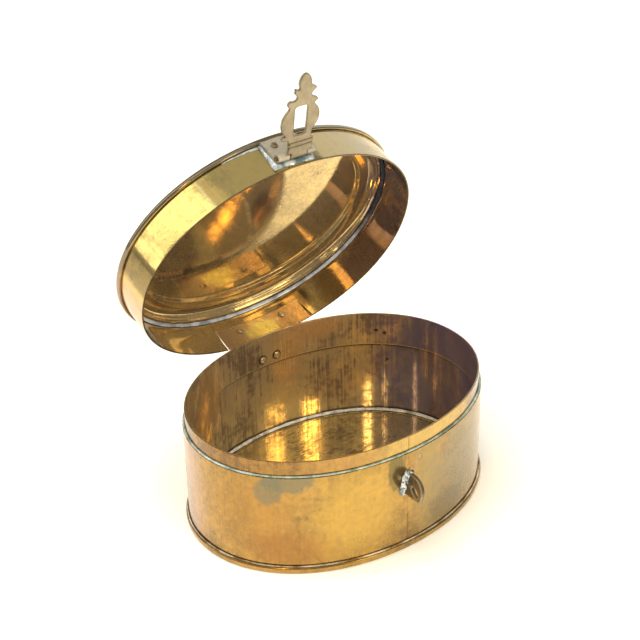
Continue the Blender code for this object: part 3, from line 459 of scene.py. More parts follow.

# %% [markdown]
# ## Brass outside and inside the wall
# Outside, the wall was rubbed with a cloth: aged brass, mid gold, with a grey-green stain near the
# left, a dull right half and a warm left end. Inside, where no cloth reached, the same sheet is
# brown and violet, with bright golden places that are painted reflections of light, a painted
# shade along the foot and under the collar's ledge, a painted highlight on the ledge's edge and
# painted shade round two rivets. Both could be one material, but the eye sees two finishes, so
# the faces that look inward get the second one.

# %% Finishes of the wall
# Each mark has its tint, amount, centre, reach, raggedness and softness.
ALL_ROUND = 900
WALL_MARKS = [
    ("#d0a68c", 0.6, (-75, 11, 26), (6, 10, 60), 0.4, 0.8),
    ("#b08037", 0.6, (-66, -30, 30), (14, 22, 20), 0.5, 0.6),
    ("#9a6628", 0.6, (-56, -40, 13), (22, 18, 9), 0.6, 0.5),
    ("#cea446", 0.7, (-28, -53, 28), (20, 12, 24), 0.5, 0.6),
    ("#a08a54", 0.7, (10, -56, 28), (8, 6, 30), 0.5, 0.5),
    ("#8c7e5e", 0.75, (34, -52, 30), (20, 22, 24), 0.6, 0.5),
    ("#75653f", 0.6, (22, -55, 12), (12, 8, 8), 0.7, 0.4),
    ("#76725a", 0.75, (-55, -39, 50), (12, 11, 6), 0.6, 0.2),
    ("#76725a", 0.65, (-62, -34, 44), (6, 6, 7), 0.5, 0.2),
    ("#6e6238", 0.75, (-8.6, -57, 44), (4.6, 5, 10), 0.4, 0.15),
    ("#7c5c3c", 0.5, (4.3, -57, 46.8), (1.5, 4, 1.9), 0.5, 0.3),
    ("#d8b49c", 0.4, (4.2, -57, 47), (0.9, 4, 1.2), 0.8, 0.5),
    ("#b8906c", 0.5, (2.4, -57, 43.6), (0.9, 4, 2.6), 0.7, 0.4),
    ("#54421f", 0.6, (-2.0, -57, 14), (0.22, 4, 7.5), 0.2, 0.3),
]
INSIDE_STAINS_AND_PAINTED_LIGHT = [
    ("#746ea4", 0.8, (76, 4, 24), (26, 44, 70), 0.4, 0.5),
    ("#6a5440", 0.5, (-60, 20, 24), (26, 34, 50), 0.5, 0.5),
    # Painted reflections: these four bright golden spots stand for light mirrored onto the inner
    # walls.
    ("#ffe49c", 0.5, (8, 56, 15), (15, 9, 13), 0.8, 0.5),
    ("#ffd08a", 0.85, (11, 56, 44), (8, 8, 18), 0.7, 0.6),
    ("#f0bc7c", 0.65, (27, 53, 56), (15, 9, 7), 0.7, 0.6),
    ("#d8a868", 0.5, (-40, 48, 40), (10, 12, 18), 0.8, 0.5),
    # Painted shade: a dark band where the wall meets the floor, and one under the collar's ledge.
    ("#2a1c12", 0.7, (0, 0, 2.7), (ALL_ROUND, ALL_ROUND, 0.8), 0.3, 0.4),
    ("#2a1c12", 0.85, (0, 0, 40.9), (ALL_ROUND, ALL_ROUND, 0.6), 0.2, 0.4),
    # Painted highlight: a pale line along the collar's lower edge.
    ("#f4dca0", 0.4, (0, 0, 41.8), (ALL_ROUND, ALL_ROUND, 0.3), 0.3, 0.4),
    ("#2e2020", 0.5, (59, 35, 22), (0.3, 0.5, 20), 0.4, 0.3),
    # Painted shade: a dark ring round each of the two rivet heads inside.
    ("#241810", 0.8, (-3.2, 54.9, 45.8), (2.5, 3, 2.5), 0.2, 0.2),
    ("#241810", 0.8, (5.2, 54.9, 45.8), (2.5, 3, 2.5), 0.2, 0.2),
    ("#2e1c14", 0.9, (54.5, 37.5, 49.8), (0.9, 1.5, 0.7), 0.4, 0.2),
    ("#2e1c14", 0.9, (57.8, 34.7, 48.4), (0.7, 1.2, 0.9), 0.4, 0.2),
    ("#2e1c14", 0.8, (59.4, 34.6, 32.1), (0.6, 1.0, 0.9), 0.4, 0.2),
]
WALL_BRASS = aged_brass("hand_polished_aged_brass", ("#bc9249", "#886b34", "#4a3520"), 0.4,
                        (0.1, 0.2), line=(1.1111, 1.1111, 33.333), mottled=0.4, blend=0.2,
                        stains_and_painted_light=WALL_MARKS, seed=0.1)
INSIDE_BRASS = aged_brass("tarnished_brass_with_painted_light", ("#f6dca6", "#8e765e", "#30221a"), 0.47,
                          (0.06, 0.14), (0.24, 0.5), (0.90909, 0.90909, 45.455), 0.45, 0.5, 0.14,
                          stains_and_painted_light=INSIDE_STAINS_AND_PAINTED_LIGHT, seed=0.2)

# %% [markdown]
# ## Making one piece
# Each piece becomes one closed mesh. Flat shading would show its faces and plain smooth shading
# would round the sheet off, so a weighted-normal modifier keeps flat sheets flat beside their
# eased edges. A piece may have a second finish, and it moves with a body of the model. The first
# piece is the wall: one strip bent to the oval, its ends butted in a soldered seam at the front.

# %% The wall band
CREASE = radians(40)


def make_piece(name, points, faces, material, body, stands_for=(), place=AT_HOME, bevel=0.0,
               flat=CREASE, inside=None, is_inside=None):
    """A named mesh made from millimetre points, with a second finish where is_inside says."""
    mesh = bpy.data.meshes.new(name)
    mesh.from_pydata((np.asarray(points) * MM).tolist(), [], faces)
    builder = bmesh.new()
    builder.from_mesh(mesh)
    bmesh.ops.recalc_face_normals(builder, faces=builder.faces)
    builder.to_mesh(mesh)
    builder.free()
    mesh.shade_smooth()
    mesh.set_sharp_from_angle(angle=flat)
    piece = bpy.data.objects.new(name, mesh)
    bpy.context.scene.collection.objects.link(piece)
    mesh.materials.append(material)
    if inside:
        mesh.materials.append(inside)
        for face in mesh.polygons:
            face.material_index = int(is_inside(face.center / MM, face.normal))
    mesh.transform(place)
    if bevel:
        ease_edges(piece, bevel, CREASE)
    piece.modifiers.new("even_shading", "WEIGHTED_NORMAL").keep_sharp = True
    bpy.context.view_layer.update()
    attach(piece, body)
    if stands_for:
        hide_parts(*stands_for)
    print("%-22s %6d faces" % (name, len(mesh.polygons)))


def ease_edges(piece, width, angle):
    """Bevels the edges of a piece by a width in millimetres."""
    eased = piece.modifiers.new("eased_edges", "BEVEL")
    eased.width = width * MM
    eased.segments = 2
    eased.limit_method = "ANGLE"
    eased.angle_limit = angle


def faces_inward(centre, normal):
    """True where a band's face looks towards the middle of the oval."""
    return normal.x * centre.x / HALF_LENGTH ** 2 + normal.y * centre.y / HALF_DEPTH ** 2 < -1e-4


make_piece("wall_band", wall_points, wall_faces, WALL_BRASS, "box", ["body_wall"],
           inside=INSIDE_BRASS, is_inside=faces_inward)

# %% [markdown]
# ## The collar
# The collar is a thinner strip inside the wall that stands above it, for the lid to close over.
# The lid rubs it, so it is golden brass with softer clouds. It is swept like the wall, and its own
# seam lies beside the wall's, as on the real box.

# %% The collar band
COLLAR_MARKS = [
    ("#dcb864", 0.7, (14, -55, 56), (32, 14, 20), 0.5, 0.5),
    ("#c89a50", 0.5, (-34, -50, 56), (16, 12, 20), 0.5, 0.5),
    ("#b0a084", 0.6, (58, -36, 56), (14, 22, 20), 0.5, 0.5),
    ("#6a4a20", 0.7, (-1.0, -56, 56), (0.25, 4, 3), 0.2, 0.3),
]
COLLAR_BRASS = aged_brass("rubbed_golden_brass", ("#a8803f", "#7a5630", "#4a3520"), 0.45,
                          (0.1, 0.2), streaks=0.2, mottled=0.5, blend=0.3, stains_and_painted_light=COLLAR_MARKS,
                          seed=0.4)
COLLAR_SEAM = 2 * pi - oval_angle(-1.0)
section = divided(rounded([(COLLAR_IN, COLLAR_FOOT), (COLLAR_OUT, COLLAR_FOOT),
                           (COLLAR_OUT, COLLAR_TOP, 0.3), (COLLAR_IN, COLLAR_TOP, 0.3)]), 2.0)
points, faces = sweep(section, extra=COLLAR_SEAM + NEAR_SEAM)
points = seam_groove(wobble(points, 0.1, 22.0, 2), COLLAR_SEAM, 0.3, 0.25, -1.5)
make_piece("collar_band", points, faces, COLLAR_BRASS, "box", ["rim_collar"],
           inside=INSIDE_BRASS, is_inside=faces_inward)

# %% [markdown]
# ## The base
# The floor is one sheet. Its edge was turned up round the wall and burnished into a full round
# rim, which reads from outside as the box's foot. It could be a disc and a ring, but the real one
# is one sheet, so one open section is swept and capped over the middle. Inside, the floor is worn
# brass, a dim mirror for the walls, with short scratches along the box's length.

# %% The base sheet with its rounded foot rim
FLOOR_BRASS = aged_brass("worn_mirror_brass", ("#f6dc9c", "#907858", "#30221a"), 0.4,
                         (0.04, 0.1), (0.08, 0.35), (3.8462, 1.1111, 3.3333), 0.4, 0.45, seed=0.3)
section = rounded([(-2.0, 1.0, 0.0), (0.3, 1.0, 0.1), (0.3, 3.1, 0.2), (0.95, 3.1, 0.4),
                   (1.37, 2.6, 0.5), (1.45, 1.55, 0.5), (1.3, 0.5, 0.4), (0.8, 0.0, 0.3)],
                  closed=False)
points, faces = sweep(section, capped=True)
make_piece("base_sheet", points, faces, WALL_BRASS, "box", ["base_plate"], inside=FLOOR_BRASS,
           is_inside=lambda centre, normal: normal.z > 0.9 and centre.z < 1.2)

# %% [markdown]
# ## Soft solder
# Tin-lead solder is melted along the joints. It sets with a bright but uneven skin, bluish grey
# beside the brass, wrinkled every millimetre or so, and it dulls where the flux sat. Most of the
# runs are too dull to read as metal, so part of the shader is left non-metallic. One recipe again
# makes them all, from a bright and a dull colour and the size of the patches.

# %% The soft solder recipe
WRINKLE, WRINKLE_HEIGHT = 1.1111, 0.25


def soft_solder(name, bright, dull, rough=0.3, patch=7.0, body=0.5, on_lid=False, stains_and_painted_light=(),
                seed=0.0):
    """Tin-lead solder: patches of a size in millimetres, and how far dirt hides the metal."""
    material = bpy.data.materials.new(name)
    material.use_nodes = True
    tree = material.node_tree
    shader = tree.nodes["Principled BSDF"]
    place = object_place(tree, on_lid)
    spot = add(tree, "ShaderNodeVectorMath", {"operation": "ADD"}, i0=place,
               i1=(seed, seed, seed)).outputs[0]
    patches = add(tree, "ShaderNodeTexNoise", Vector=spot, Scale=1 / (patch * MM), Detail=4.0,
                  Roughness=0.6)
    wrinkles = add(tree, "ShaderNodeTexNoise", Vector=spot, Scale=1 / (WRINKLE * MM), Detail=3.0)
    tone = add(tree, "ShaderNodeValToRGB", Fac=patches.outputs[0])
    low, high = tone.color_ramp.elements
    low.position, low.color = 0.38, linear(dull)
    high.position, high.color = 0.62, linear(bright)
    colour = with_stains_and_painted_light(tree, place, tone.outputs[0], stains_and_painted_light)
    tree.links.new(colour, shader.inputs["Base Color"])
    shader.inputs["Metallic"].default_value = 1 - body
    polish = add(tree, "ShaderNodeMapRange", i0=patches.outputs[0], i1=0.3, i2=0.7,
                 i3=rough * 1.5, i4=rough * 0.6)
    tree.links.new(polish.outputs[0], shader.inputs["Roughness"])
    normal = relief(tree, [(wrinkles.outputs[0], 0.6, WRINKLE_HEIGHT)])
    tree.links.new(normal, shader.inputs["Normal"])
    print("%-28s %3d nodes" % (name, len(tree.nodes)))
    return material


SOLDER = soft_solder("tin_lead_solder", "#fcfcfa", "#a8a49c", patch=4.0, body=0.85, seed=0.2)
GREEN_SOLDER = soft_solder("greenish_soft_solder", "#e2ece2", "#7f9486", seed=1.4)
WARM_SOLDER = soft_solder("brass_stained_solder", "#e6dcc2", "#86683c", patch=9.0, seed=0.5)

# %% [markdown]
# ## The solder runs
# Each joint round the box was filled from a stick of solder fed by hand. A curve with a round
# bevel would be too even, so a small section is swept and noise makes it swell and thin, never
# beyond its first size. The run at the collar is greenish where brass salts reached it, the one
# at the foot is stained by the brass, and the one on the floor is bare.

# %% Beads of solder round the box
RUN_RINGS = 360
RUN_SWELL, RUN_LUMP = 0.25, 3.0
SOLDER_CREASE = radians(80)


def solder_run(name, section, material, body, stands_for, place=AT_HOME, seed=0):
    """A swept bead whose surface swells and thins about the middle of its section."""
    points, faces = sweep(rounded(section, 0.15), RUN_RINGS)
    middle_out = sum(point[0] for point in section) / len(section)
    middle_height = sum(point[1] for point in section) / len(section)
    ring = oval(np.arange(RUN_RINGS) * 2 * pi / RUN_RINGS, middle_out, middle_height)
    for index, point in enumerate(points):
        centre = ring[index % RUN_RINGS]
        swell = noise.noise(Vector(centre) / RUN_LUMP + Vector((seed, 0, 0)))
        swell += 0.5 * noise.noise(Vector(centre) / (RUN_LUMP * 0.3) + Vector((0, seed, 0)))
        points[index] = centre + (point - centre) * (0.88 + min(0.12, RUN_SWELL * swell))
    make_piece(name, points, faces, material, body, stands_for, place, flat=SOLDER_CREASE)


solder_run("collar_solder_line", [(-1.16, 51.56), (-0.3, 51.56), (-0.1, 51.8), (-0.5, 52.25),
                                  (-1.16, 52.4)],
           GREEN_SOLDER, "box", ["collar_solder_bead"], seed=1)
solder_run("foot_solder_line", [(0.3, 3.4), (0.95, 3.4), (0.7, 3.85), (0.3, 4.05)],
           WARM_SOLDER, "box", ["foot_solder_bead"], seed=2)
solder_run("floor_solder_run", [(-1.2, 1.3), (-1.2, 2.6), (-1.7, 1.8), (-2.5, 1.3)],
           SOLDER, "box", ["floor_solder_fillet"], seed=3)

# %% [markdown]
# ## The lid's brass
# Outside, the lid is the palest brass of the box, pressed and often polished, with a film over a
# quarter of it and a narrow painted highlight down the front of its skirt. Inside it is tarnished
# but smoother, because it was pressed over a polished form: the mirror there shows whole shapes,
# so its bumps are kept low. Its marks lie at the right, where the skirt is violet and dark, and in
# the middle of the plateau.

# %% Finishes of the lid
SKIRT_MARKS_AND_PAINTED_HIGHLIGHT = [
    ("#dcae8c", 0.6, (-74, 8, 62), (6, 10, 30), 0.3, 0.5),
    ("#6c5a34", 0.7, (-75, -12, 62), (6, 7, 30), 0.35, 0.3),
    ("#8c7c4c", 0.6, (-24, -55, 62), (17, 10, 30), 0.3, 0.15),
    ("#b0a078", 0.7, (26, -54, 62), (22, 12, 30), 0.4, 0.4),
    # Painted highlight: a pale vertical streak stands for a window mirrored in the skirt.
    ("#f6e8a0", 0.5, (-43.5, -47.6, 62), (0.6, 3, 30), 0.6, 0.4),
    ("#84786a", 0.75, (0, 0, SEAT - 0.5), (ALL_ROUND, ALL_ROUND, 1.5), 0.15, 0.3),
    ("#54483a", 0.8, (0, 0, RIM - 0.1), (ALL_ROUND, ALL_ROUND, 0.4), 0.15, 0.3),
]
UNDER_MARKS = [
    ("#7c6450", 0.75, (-42, 12, 79), (12, 24, 6), 0.5, 0.4),
    ("#9a7c54", 0.55, (4, 28, 79), (20, 9, 6), 0.6, 0.5),
    ("#86684a", 0.75, (5, -8, 79), (6, 10, 6), 0.5, 0.4),
    ("#8a6a40", 0.85, (47, 43, 60), (10, 14, 13.5), 0.5, 0.4),
    ("#8a6c60", 0.95, (66, 24, 60), (16, 30, 13.5), 0.3, 0.3),
    ("#5e4a30", 0.9, (26, 53, 66), (9, 8, 9), 0.4, 0.3),
    ("#a89cb0", 0.8, (76, -8, 64), (16, 26, 16), 0.4, 0.4),
    ("#54483a", 0.8, (0, 0, RIM - 0.1), (ALL_ROUND, ALL_ROUND, 0.4), 0.15, 0.3),
]
LID_BRASS = aged_brass("pressed_aged_brass_with_painted_highlight", ("#d8b868", "#988448", "#3a2a1c"), 0.25,
                       (0.07, 0.16), stains_and_painted_light=SKIRT_MARKS_AND_PAINTED_HIGHLIGHT, on_lid=True, seed=0.7)
LID_INSIDE = aged_brass("tarnished_pressed_brass", ("#f0d08c", "#ac926c", "#3c2c1c"), 0.3,
                        (0.02, 0.08), (0.08, 0.3), streaks=0.15, mottled=0.15, blend=0.25,
                        line_strength=0.25, wave_strength=0.05, stains_and_painted_light=UNDER_MARKS, on_lid=True,
                        seed=0.8)

# %% [markdown]
# ## The lid's skirt
# The skirt is a band like the wall, with extra points where its seam lies at the left end, and a
# notch at the back that holds the hinge's plate. The notch could be cut with a boolean, which
# leaves ragged faces.
# Instead, points just beside the notch are added to the sweep, and those within it are lifted.
# It is notched before it is wavered, or else the lifted points would shade as a dent.

# %% The skirt with points at its seam, and its notch
LID_SEAM = pi + 9.5 / HALF_DEPTH
PLATE_LEFT, PLATE_RIGHT, PLATE_TOP = -20.4, 27.8, RIM + 13.2
NOTCH_LEFT, NOTCH_RIGHT, NOTCH_TOP = PLATE_LEFT - SLIT, PLATE_RIGHT + SLIT, PLATE_TOP + SLIT


def notched(points, left, right, top):
    """Lifts the lower edge of a band at the back, which leaves a notch for a plate."""
    result = points.copy()
    x, y, z = points.T
    inside = (y > 0) & (x > left) & (x < right) & (z < top)
    result[inside, 2] = top + (points[inside, 2] - RIM) * 0.004
    return result


section = divided(rounded([(SKIRT_IN, RIM, 0.25), (SKIRT_OUT, RIM, 0.25), (SKIRT_OUT, SKIRT_TOP),
                           (SKIRT_IN, SKIRT_TOP)]), 2.0)
notch_angles = [oval_angle(x) for x in (NOTCH_LEFT - 0.03, NOTCH_LEFT, NOTCH_RIGHT,
                                        NOTCH_RIGHT + 0.03)]
seam_angles = LID_SEAM + np.array([-0.3, 0.0, 0.05, 0.15, 0.4]) / HALF_DEPTH
points, faces = sweep(section, extra=np.concatenate([seam_angles, notch_angles]))
points = notched(points, NOTCH_LEFT - 0.01, NOTCH_RIGHT + 0.01, NOTCH_TOP)
points = wobble(points, 0.1, 24.0, 3)
make_piece("skirt_band", points, faces, LID_BRASS, "lid", ["lid_skirt"], LID_OPEN,
           inside=LID_INSIDE, is_inside=faces_inward)

# %% [markdown]
# ## The lid's moulded top
# The top is one pressed sheet: a rounded rim that turns down over the skirt, a step, a
# quarter-round moulding, a narrow ridge and a flat plateau. Stacked rings would need many joints,
# so one section runs from the middle underneath, round the rim, to the middle on top. The upper
# side is the under side moved by the thickness of the sheet.

# %% The moulded sheet and its solder
MOULDING_STEPS = 12


def lid_section():
    """The lid's section from the middle underneath to the middle on top."""
    under = [(0.14, SEAT - 1.9), (0.14, SEAT), (-3.3, SEAT), (-3.8, SEAT + 1.1)]
    for step in range(MOULDING_STEPS):
        angle = pi / 2 * (step + 0.5) / MOULDING_STEPS
        under.append((-4.2 - 6.6 * (1 - cos(angle)), SEAT + 1.1 + 3.4 * sin(angle)))
    ridge, crest = -10.8, SEAT + 4.5
    under += [(ridge - 0.42, crest), (ridge - 0.84, crest - 0.5), (ridge - 1.4, crest - 0.5),
              (ridge - 2.1, SEAT + 5.8), (ridge - 2.9, SEAT + 6.1)]
    over = [(out + 0.32, height + LID_SHEET) for out, height in reversed(under[3:])]
    over += [(-2.7, SEAT + 0.9), (0.7, SEAT + 0.9), (1.35, SEAT + 0.45), (1.45, SEAT - 0.5),
             (1.35, SEAT - 1.5), (0.95, SEAT - 1.9)]
    return rounded(list(reversed(under)) + list(reversed(over)), 0.22, 2, closed=False)


points, faces = sweep(lid_section(), capped=True)
make_piece("lid_sheet", points, faces, LID_BRASS, "lid", ["lid_top"], LID_OPEN,
           inside=LID_INSIDE,
           is_inside=lambda centre, normal: normal.z < 0.0 and centre.z > SEAT - 0.3)
LID_SOLDER = soft_solder("darkened_soft_solder", "#eef4ff", "#9ca2ae", body=0.8, on_lid=True,
                         stains_and_painted_light=[("#1c2840", 0.92, (78, -8, 71), (26, 36, 20), 0.3, 0.4)],
                         seed=0.6)
solder_run("lid_solder_run", [(-1.1, SEAT - 0.3), (-1.1, SEAT - 1.7), (-1.6, SEAT - 0.9),
                              (-2.5, SEAT - 0.3)],
           LID_SOLDER, "lid", ["lid_solder_fillet"], LID_OPEN, seed=4)

# %% [markdown]
# ## The seat plate
# At the back a reddish plate is let into the skirt, and the hinge is riveted to it. It is rough
# brass, filed and beaten, so its finish has the deepest dents of all, with brown ends and a bright
# yellow middle that is a painted reflection of light. It could be cut from the skirt's sweep, but
# it is a sheet of its own, so its two faces are made as grids and joined along their border.

# %% A bent sheet for the seat
SEAT_MARKS_AND_PAINTED_REFLECTION = [
    ("#bc9c78", 0.7, (-17, 56, 60), (9, 8, 12), 0.6, 0.5),
    ("#ac8a62", 0.8, (22, 56, 60), (10, 8, 12), 0.6, 0.4),
    # Painted reflection: a bright yellow patch in the middle of the plate.
    ("#ffee8c", 0.95, (3, 57, 58.5), (9, 7, 6), 0.9, 0.3),
]
SEAT_BRASS = aged_brass("reddish_brass_plate_with_painted_reflection", ("#dcb884", "#ac8e68", "#3a2418"), 0.3,
                        (0.2, 0.3), (0.3, 0.5), mottled=0.45, line_strength=1.0,
                        wave_strength=0.8, crinkle=0.12, stains_and_painted_light=SEAT_MARKS_AND_PAINTED_REFLECTION, on_lid=True, seed=0.9)


def bent_sheet(across, along, middle):
    """A closed sheet from a grid: middle gives a point on the near and far face at each place."""
    near, far = [], []
    for row in along:
        for column in across:
            one, other = middle(column, row)
            near.append(one)
            far.append(other)
    wide, count = len(across), len(across) * len(along)
    faces = []
    for row in range(len(along) - 1):
        for column in range(wide - 1):
            corner = row * wide + column
            quad = (corner, corner + 1, corner + wide + 1, corner + wide)
            faces += [quad, tuple(count + index for index in reversed(quad))]
    border = list(range(wide)) + [row * wide + wide - 1 for row in range(1, len(along))]
    border += [(len(along) - 1) * wide + column for column in range(wide - 2, -1, -1)]
    border += [row * wide for row in range(len(along) - 2, 0, -1)]
    for start, end in zip(border, border[1:] + border[:1]):
        faces.append((start, start + count, end + count, end))
    return near + far, faces


def seat_place(x, height):
    """Points on the inner and outer faces of the seat plate."""
    swell = 0.04 * noise.noise(Vector((x / 6, height / 6, 5)))
    return ((x, oval_y(x, SKIRT_IN - 0.1 + swell), height),
            (x, oval_y(x, SKIRT_OUT + swell), height))


across = np.linspace(PLATE_LEFT, PLATE_RIGHT, 61)
along = [RIM, RIM + 0.15, *np.linspace(RIM + 0.6, PLATE_TOP - 0.6, 9), PLATE_TOP - 0.15,
         PLATE_TOP]
points, faces = bent_sheet(across, along, seat_place)
make_piece("riveted_seat_plate", points, faces, SEAT_BRASS, "lid", ["hinge_seat_plate"],
           LID_OPEN, bevel=0.15)

# %% [markdown]
# ## The rivets
# A rivet is a short wire hammered at both ends, so each head is a low dome with flats where the
# hammer fell. A sphere cut in half would be too perfect: a profile is turned about the rivet's
# axis instead, and noise presses its skin. The metal is paler where it was struck.

# %% Turned and hammered rivets
SHANK, HEAD, DOME = 0.95, 1.75, 0.9
DOME_PROFILE = [(0.25, 1.0), (0.8, 0.96), (1.2, 0.8), (1.5, 0.55), (1.68, 0.3), (HEAD, 0.1),
                (HEAD * 0.96, 0.0)]
RIVET_SIDES, HAMMERED, RIVET_CREASE = 28, 0.09, radians(60)
LEAF_FACE = SLIT + 0.9
BODY_RIVET_HEIGHT, LID_RIVET_HEIGHT = 45.8, RIM + 9.1
BODY_GRIP, LID_GRIP = LEAF_FACE - COLLAR_IN, LEAF_FACE - SKIRT_IN
RIVET_BRASS = aged_brass("hammered_rivet_brass", ("#e4d0a4", "#9c8460", "#2c1c0c"), 0.4,
                         (0.12, 0.25), (0.3, 0.5), seed=1.7)


def turned(profile, base, outward, seed):
    """A profile of radius and height turned about an axis, with hammer flats on its skin."""
    upright = Vector((0, 0, 1)).rotation_difference(outward).to_matrix()
    points = []
    for radius, height in profile:
        for step in range(RIVET_SIDES):
            angle = 2 * pi * step / RIVET_SIDES
            point = Vector((radius * cos(angle), radius * sin(angle), height))
            point *= 1 + HAMMERED * noise.noise(point * 0.9 + Vector((seed * 3.7, 0, 0)))
            points.append(tuple(Vector(base) + upright @ point))
    ends = [tuple(range(RIVET_SIDES)), tuple(range(len(points) - RIVET_SIDES, len(points)))]
    return points, joined(len(profile), RIVET_SIDES, False) + ends


def back_normal(x):
    """The direction straight out of the oval at a given x on the hinge side."""
    slope = oval_y(x + 0.01, LEAF_FACE) - oval_y(x - 0.01, LEAF_FACE)
    return Vector((-slope, 0.02, 0)).normalized()


def rivet(name, x, height, grip, body, place, seed):
    """A rivet through a stack of sheets at the back, a dome at each end."""
    low, high = -grip - SLIT, SLIT
    profile = [(radius, low - share * DOME) for radius, share in DOME_PROFILE]
    profile += [(SHANK, low + 0.02), (SHANK, high - 0.02)]
    profile += [(radius, high + share * DOME) for radius, share in reversed(DOME_PROFILE)]
    points, faces = turned(profile, (x, oval_y(x, LEAF_FACE), height), back_normal(x), seed)
    make_piece(name + "_hammered", points, faces, RIVET_BRASS, body, [name], place,
               flat=RIVET_CREASE)


rivet("body_hinge_rivet_left", -3.3, BODY_RIVET_HEIGHT, BODY_GRIP, "box", AT_HOME, 0)
rivet("body_hinge_rivet_right", 5.3, BODY_RIVET_HEIGHT, BODY_GRIP, "box", AT_HOME, 1)
rivet("lid_hinge_rivet_left", -8.4, LID_RIVET_HEIGHT, LID_GRIP, "lid", LID_OPEN, 4)
rivet("lid_hinge_rivet_right", 16.9, LID_RIVET_HEIGHT, LID_GRIP, "lid", LID_OPEN, 5)

# %% [markdown]
# ## The solder bed of the hasp
# The hasp's leaf is bedded in solder, bluish grey, that ran out along its left side and along the
# lid's rim. Sculpting would do, but it can't be repeated. So the same bent sheet is used: its back
# lies on the skirt, and its front is a skin that rises from a thin edge and is lumpy in between.

# %% The bed under the leaf and the run at the rim
BLUE_SOLDER = soft_solder("bluish_soft_solder", "#eef6fa", "#70899a", patch=5.0, seed=0.9)


def bed_place(share, rise):
    """Points on the skirt and on the solder's skin, from shares across and up the bed."""
    left = -13.6 + 2.0 * rise + 0.35 * noise.noise(Vector((rise * 9, 1, 0)))
    right = 8.0 + 1.6 * sin(rise * 2.4) + 0.3 * noise.noise(Vector((rise * 9, 4, 0)))
    low = RIM + 0.9 + 0.9 * (1 - share) ** 2 + 0.3 * noise.noise(Vector((share * 12, 7, 0)))
    x = left + (right - left) * share
    height = low + (RIM + 18.3 - low) * rise
    inset = min(share * 22, (1 - share) * 22, rise * 17, (1 - rise) * 17)
    skin = 1 - (1 - min(1.0, inset / 1.7)) ** 2
    lump = 0.5 + 0.5 * noise.noise(Vector((x / 2.2, height / 2.2, 3)))
    depth = 0.05 + skin * (HALF_DEPTH + 0.8 - oval_y(x, 0.0)) * (0.72 + 0.28 * lump)
    if x < -11.5:
        depth += 0.8 * skin * lump
    on_skirt = -oval_y(x, SKIRT_OUT + 0.02)
    return (x, on_skirt, height), (x, on_skirt - depth, height)


def run_place(share, rise):
    """Points of the thin solder run that follows the lid's rim away from the bed."""
    x = -30.0 + 18.0 * share
    wide = 0.3 + 1.3 * share + 0.3 * noise.noise(Vector((x / 2, 2, 0)))
    height = RIM + 18.35 - wide * (1 - rise)
    depth = 0.03 + 0.5 * sin(pi * rise) * min(1.0, 4 * share, 8 * (1 - share))
    return ((x, -oval_y(x, SKIRT_OUT + 0.02), height),
            (x, -oval_y(x, SKIRT_OUT + 0.02 + depth), height))


points, faces = bent_sheet(np.linspace(0, 1, 70), np.linspace(0, 1, 54), bed_place)
make_piece("solder_bed", points, faces, BLUE_SOLDER, "lid", ["hasp_solder_pad"], LID_OPEN,
           flat=SOLDER_CREASE)
points, faces = bent_sheet(np.linspace(0, 1, 50), np.linspace(0, 1, 8), run_place)
make_piece("solder_run_at_rim", points, faces, BLUE_SOLDER, "lid", place=LID_OPEN,
           flat=SOLDER_CREASE)

# %% [markdown]
# ## The solder heap of the staple
# More solder is heaped round the staple's root, mostly on its left, in bright lumps with dark
# hollows. Metaballs could make lumps, but they don't follow the bent wall. Here rings run from
# the staple's side out to the heap's edge and back under it, and two sizes of noise heap them.

# %% The heaped solder
HEAP_SOLDER = soft_solder("lumpy_soft_solder", "#f0f6f8", "#36424a", 0.25, 1.3, seed=0.7)
STAPLE = Vector((-2.6, 0.0, 35.9))
STAPLE_TILT = radians(17.0)
ROOT_X, ROOT_Z = 1.35, 5.15
ROUND, STEPS = 72, 9


def heap_point(angle, share, top):
    """A point of the heap: share runs from the staple's side out to the heap's edge."""
    left = 0.5 - 0.5 * cos(angle)
    lump = noise.noise(Vector((cos(angle) * 2.2, sin(angle) * 2.2, share * 1.6)))
    lump += 0.7 * noise.noise(Vector((cos(angle) * 6.0, sin(angle) * 6.0, share * 4.0)))
    grow = (1.0 + 1.5 * left) * (1 + 0.35 * lump) * share
    x = np.sign(cos(angle)) * min(1.0, 1.7 * abs(cos(angle))) * ROOT_X + cos(angle) * grow
    z = np.sign(sin(angle)) * min(1.0, 1.15 * abs(sin(angle))) * ROOT_Z + sin(angle) * grow * 0.7
    out = 0.06
    if top:
        out += (0.5 + 0.9 * left) * (1 - share ** 1.6) * (1 + 0.6 * lump) + 0.12 * (1 - share)
    side = STAPLE.x + x * cos(STAPLE_TILT) + z * sin(STAPLE_TILT)
    height = STAPLE.z - x * sin(STAPLE_TILT) + z * cos(STAPLE_TILT)
    return side, -oval_y(side, out), height


points = []
for top, shares in ((False, np.linspace(0, 1, STEPS)), (True, np.linspace(0.98, 0, STEPS))):
    for share in shares:
        points += [heap_point(2 * pi * step / ROUND, share, top) for step in range(ROUND)]
make_piece("staple_solder_heap", points, joined(2 * STEPS, ROUND, True), HEAP_SOLDER, "box",
           ["staple_solder"], flat=SOLDER_CREASE)

# %% [markdown]
# ## Finishes for the filed fittings
# The hinge's leaves are curled sheet and both pins are drawn wire, brown between the knuckles.
# The staple, the hasp and its leaf were sawn from thick brass and filed, which leaves it greyer
# and rougher than sheet, dark along the hasp's edges, with a painted highlight along the staple's.
# They could be built anew, but the engineering model already has their shapes, so they only get
# finishes. A narrow bevel eases the edges, as years of handling do, and catches the light.

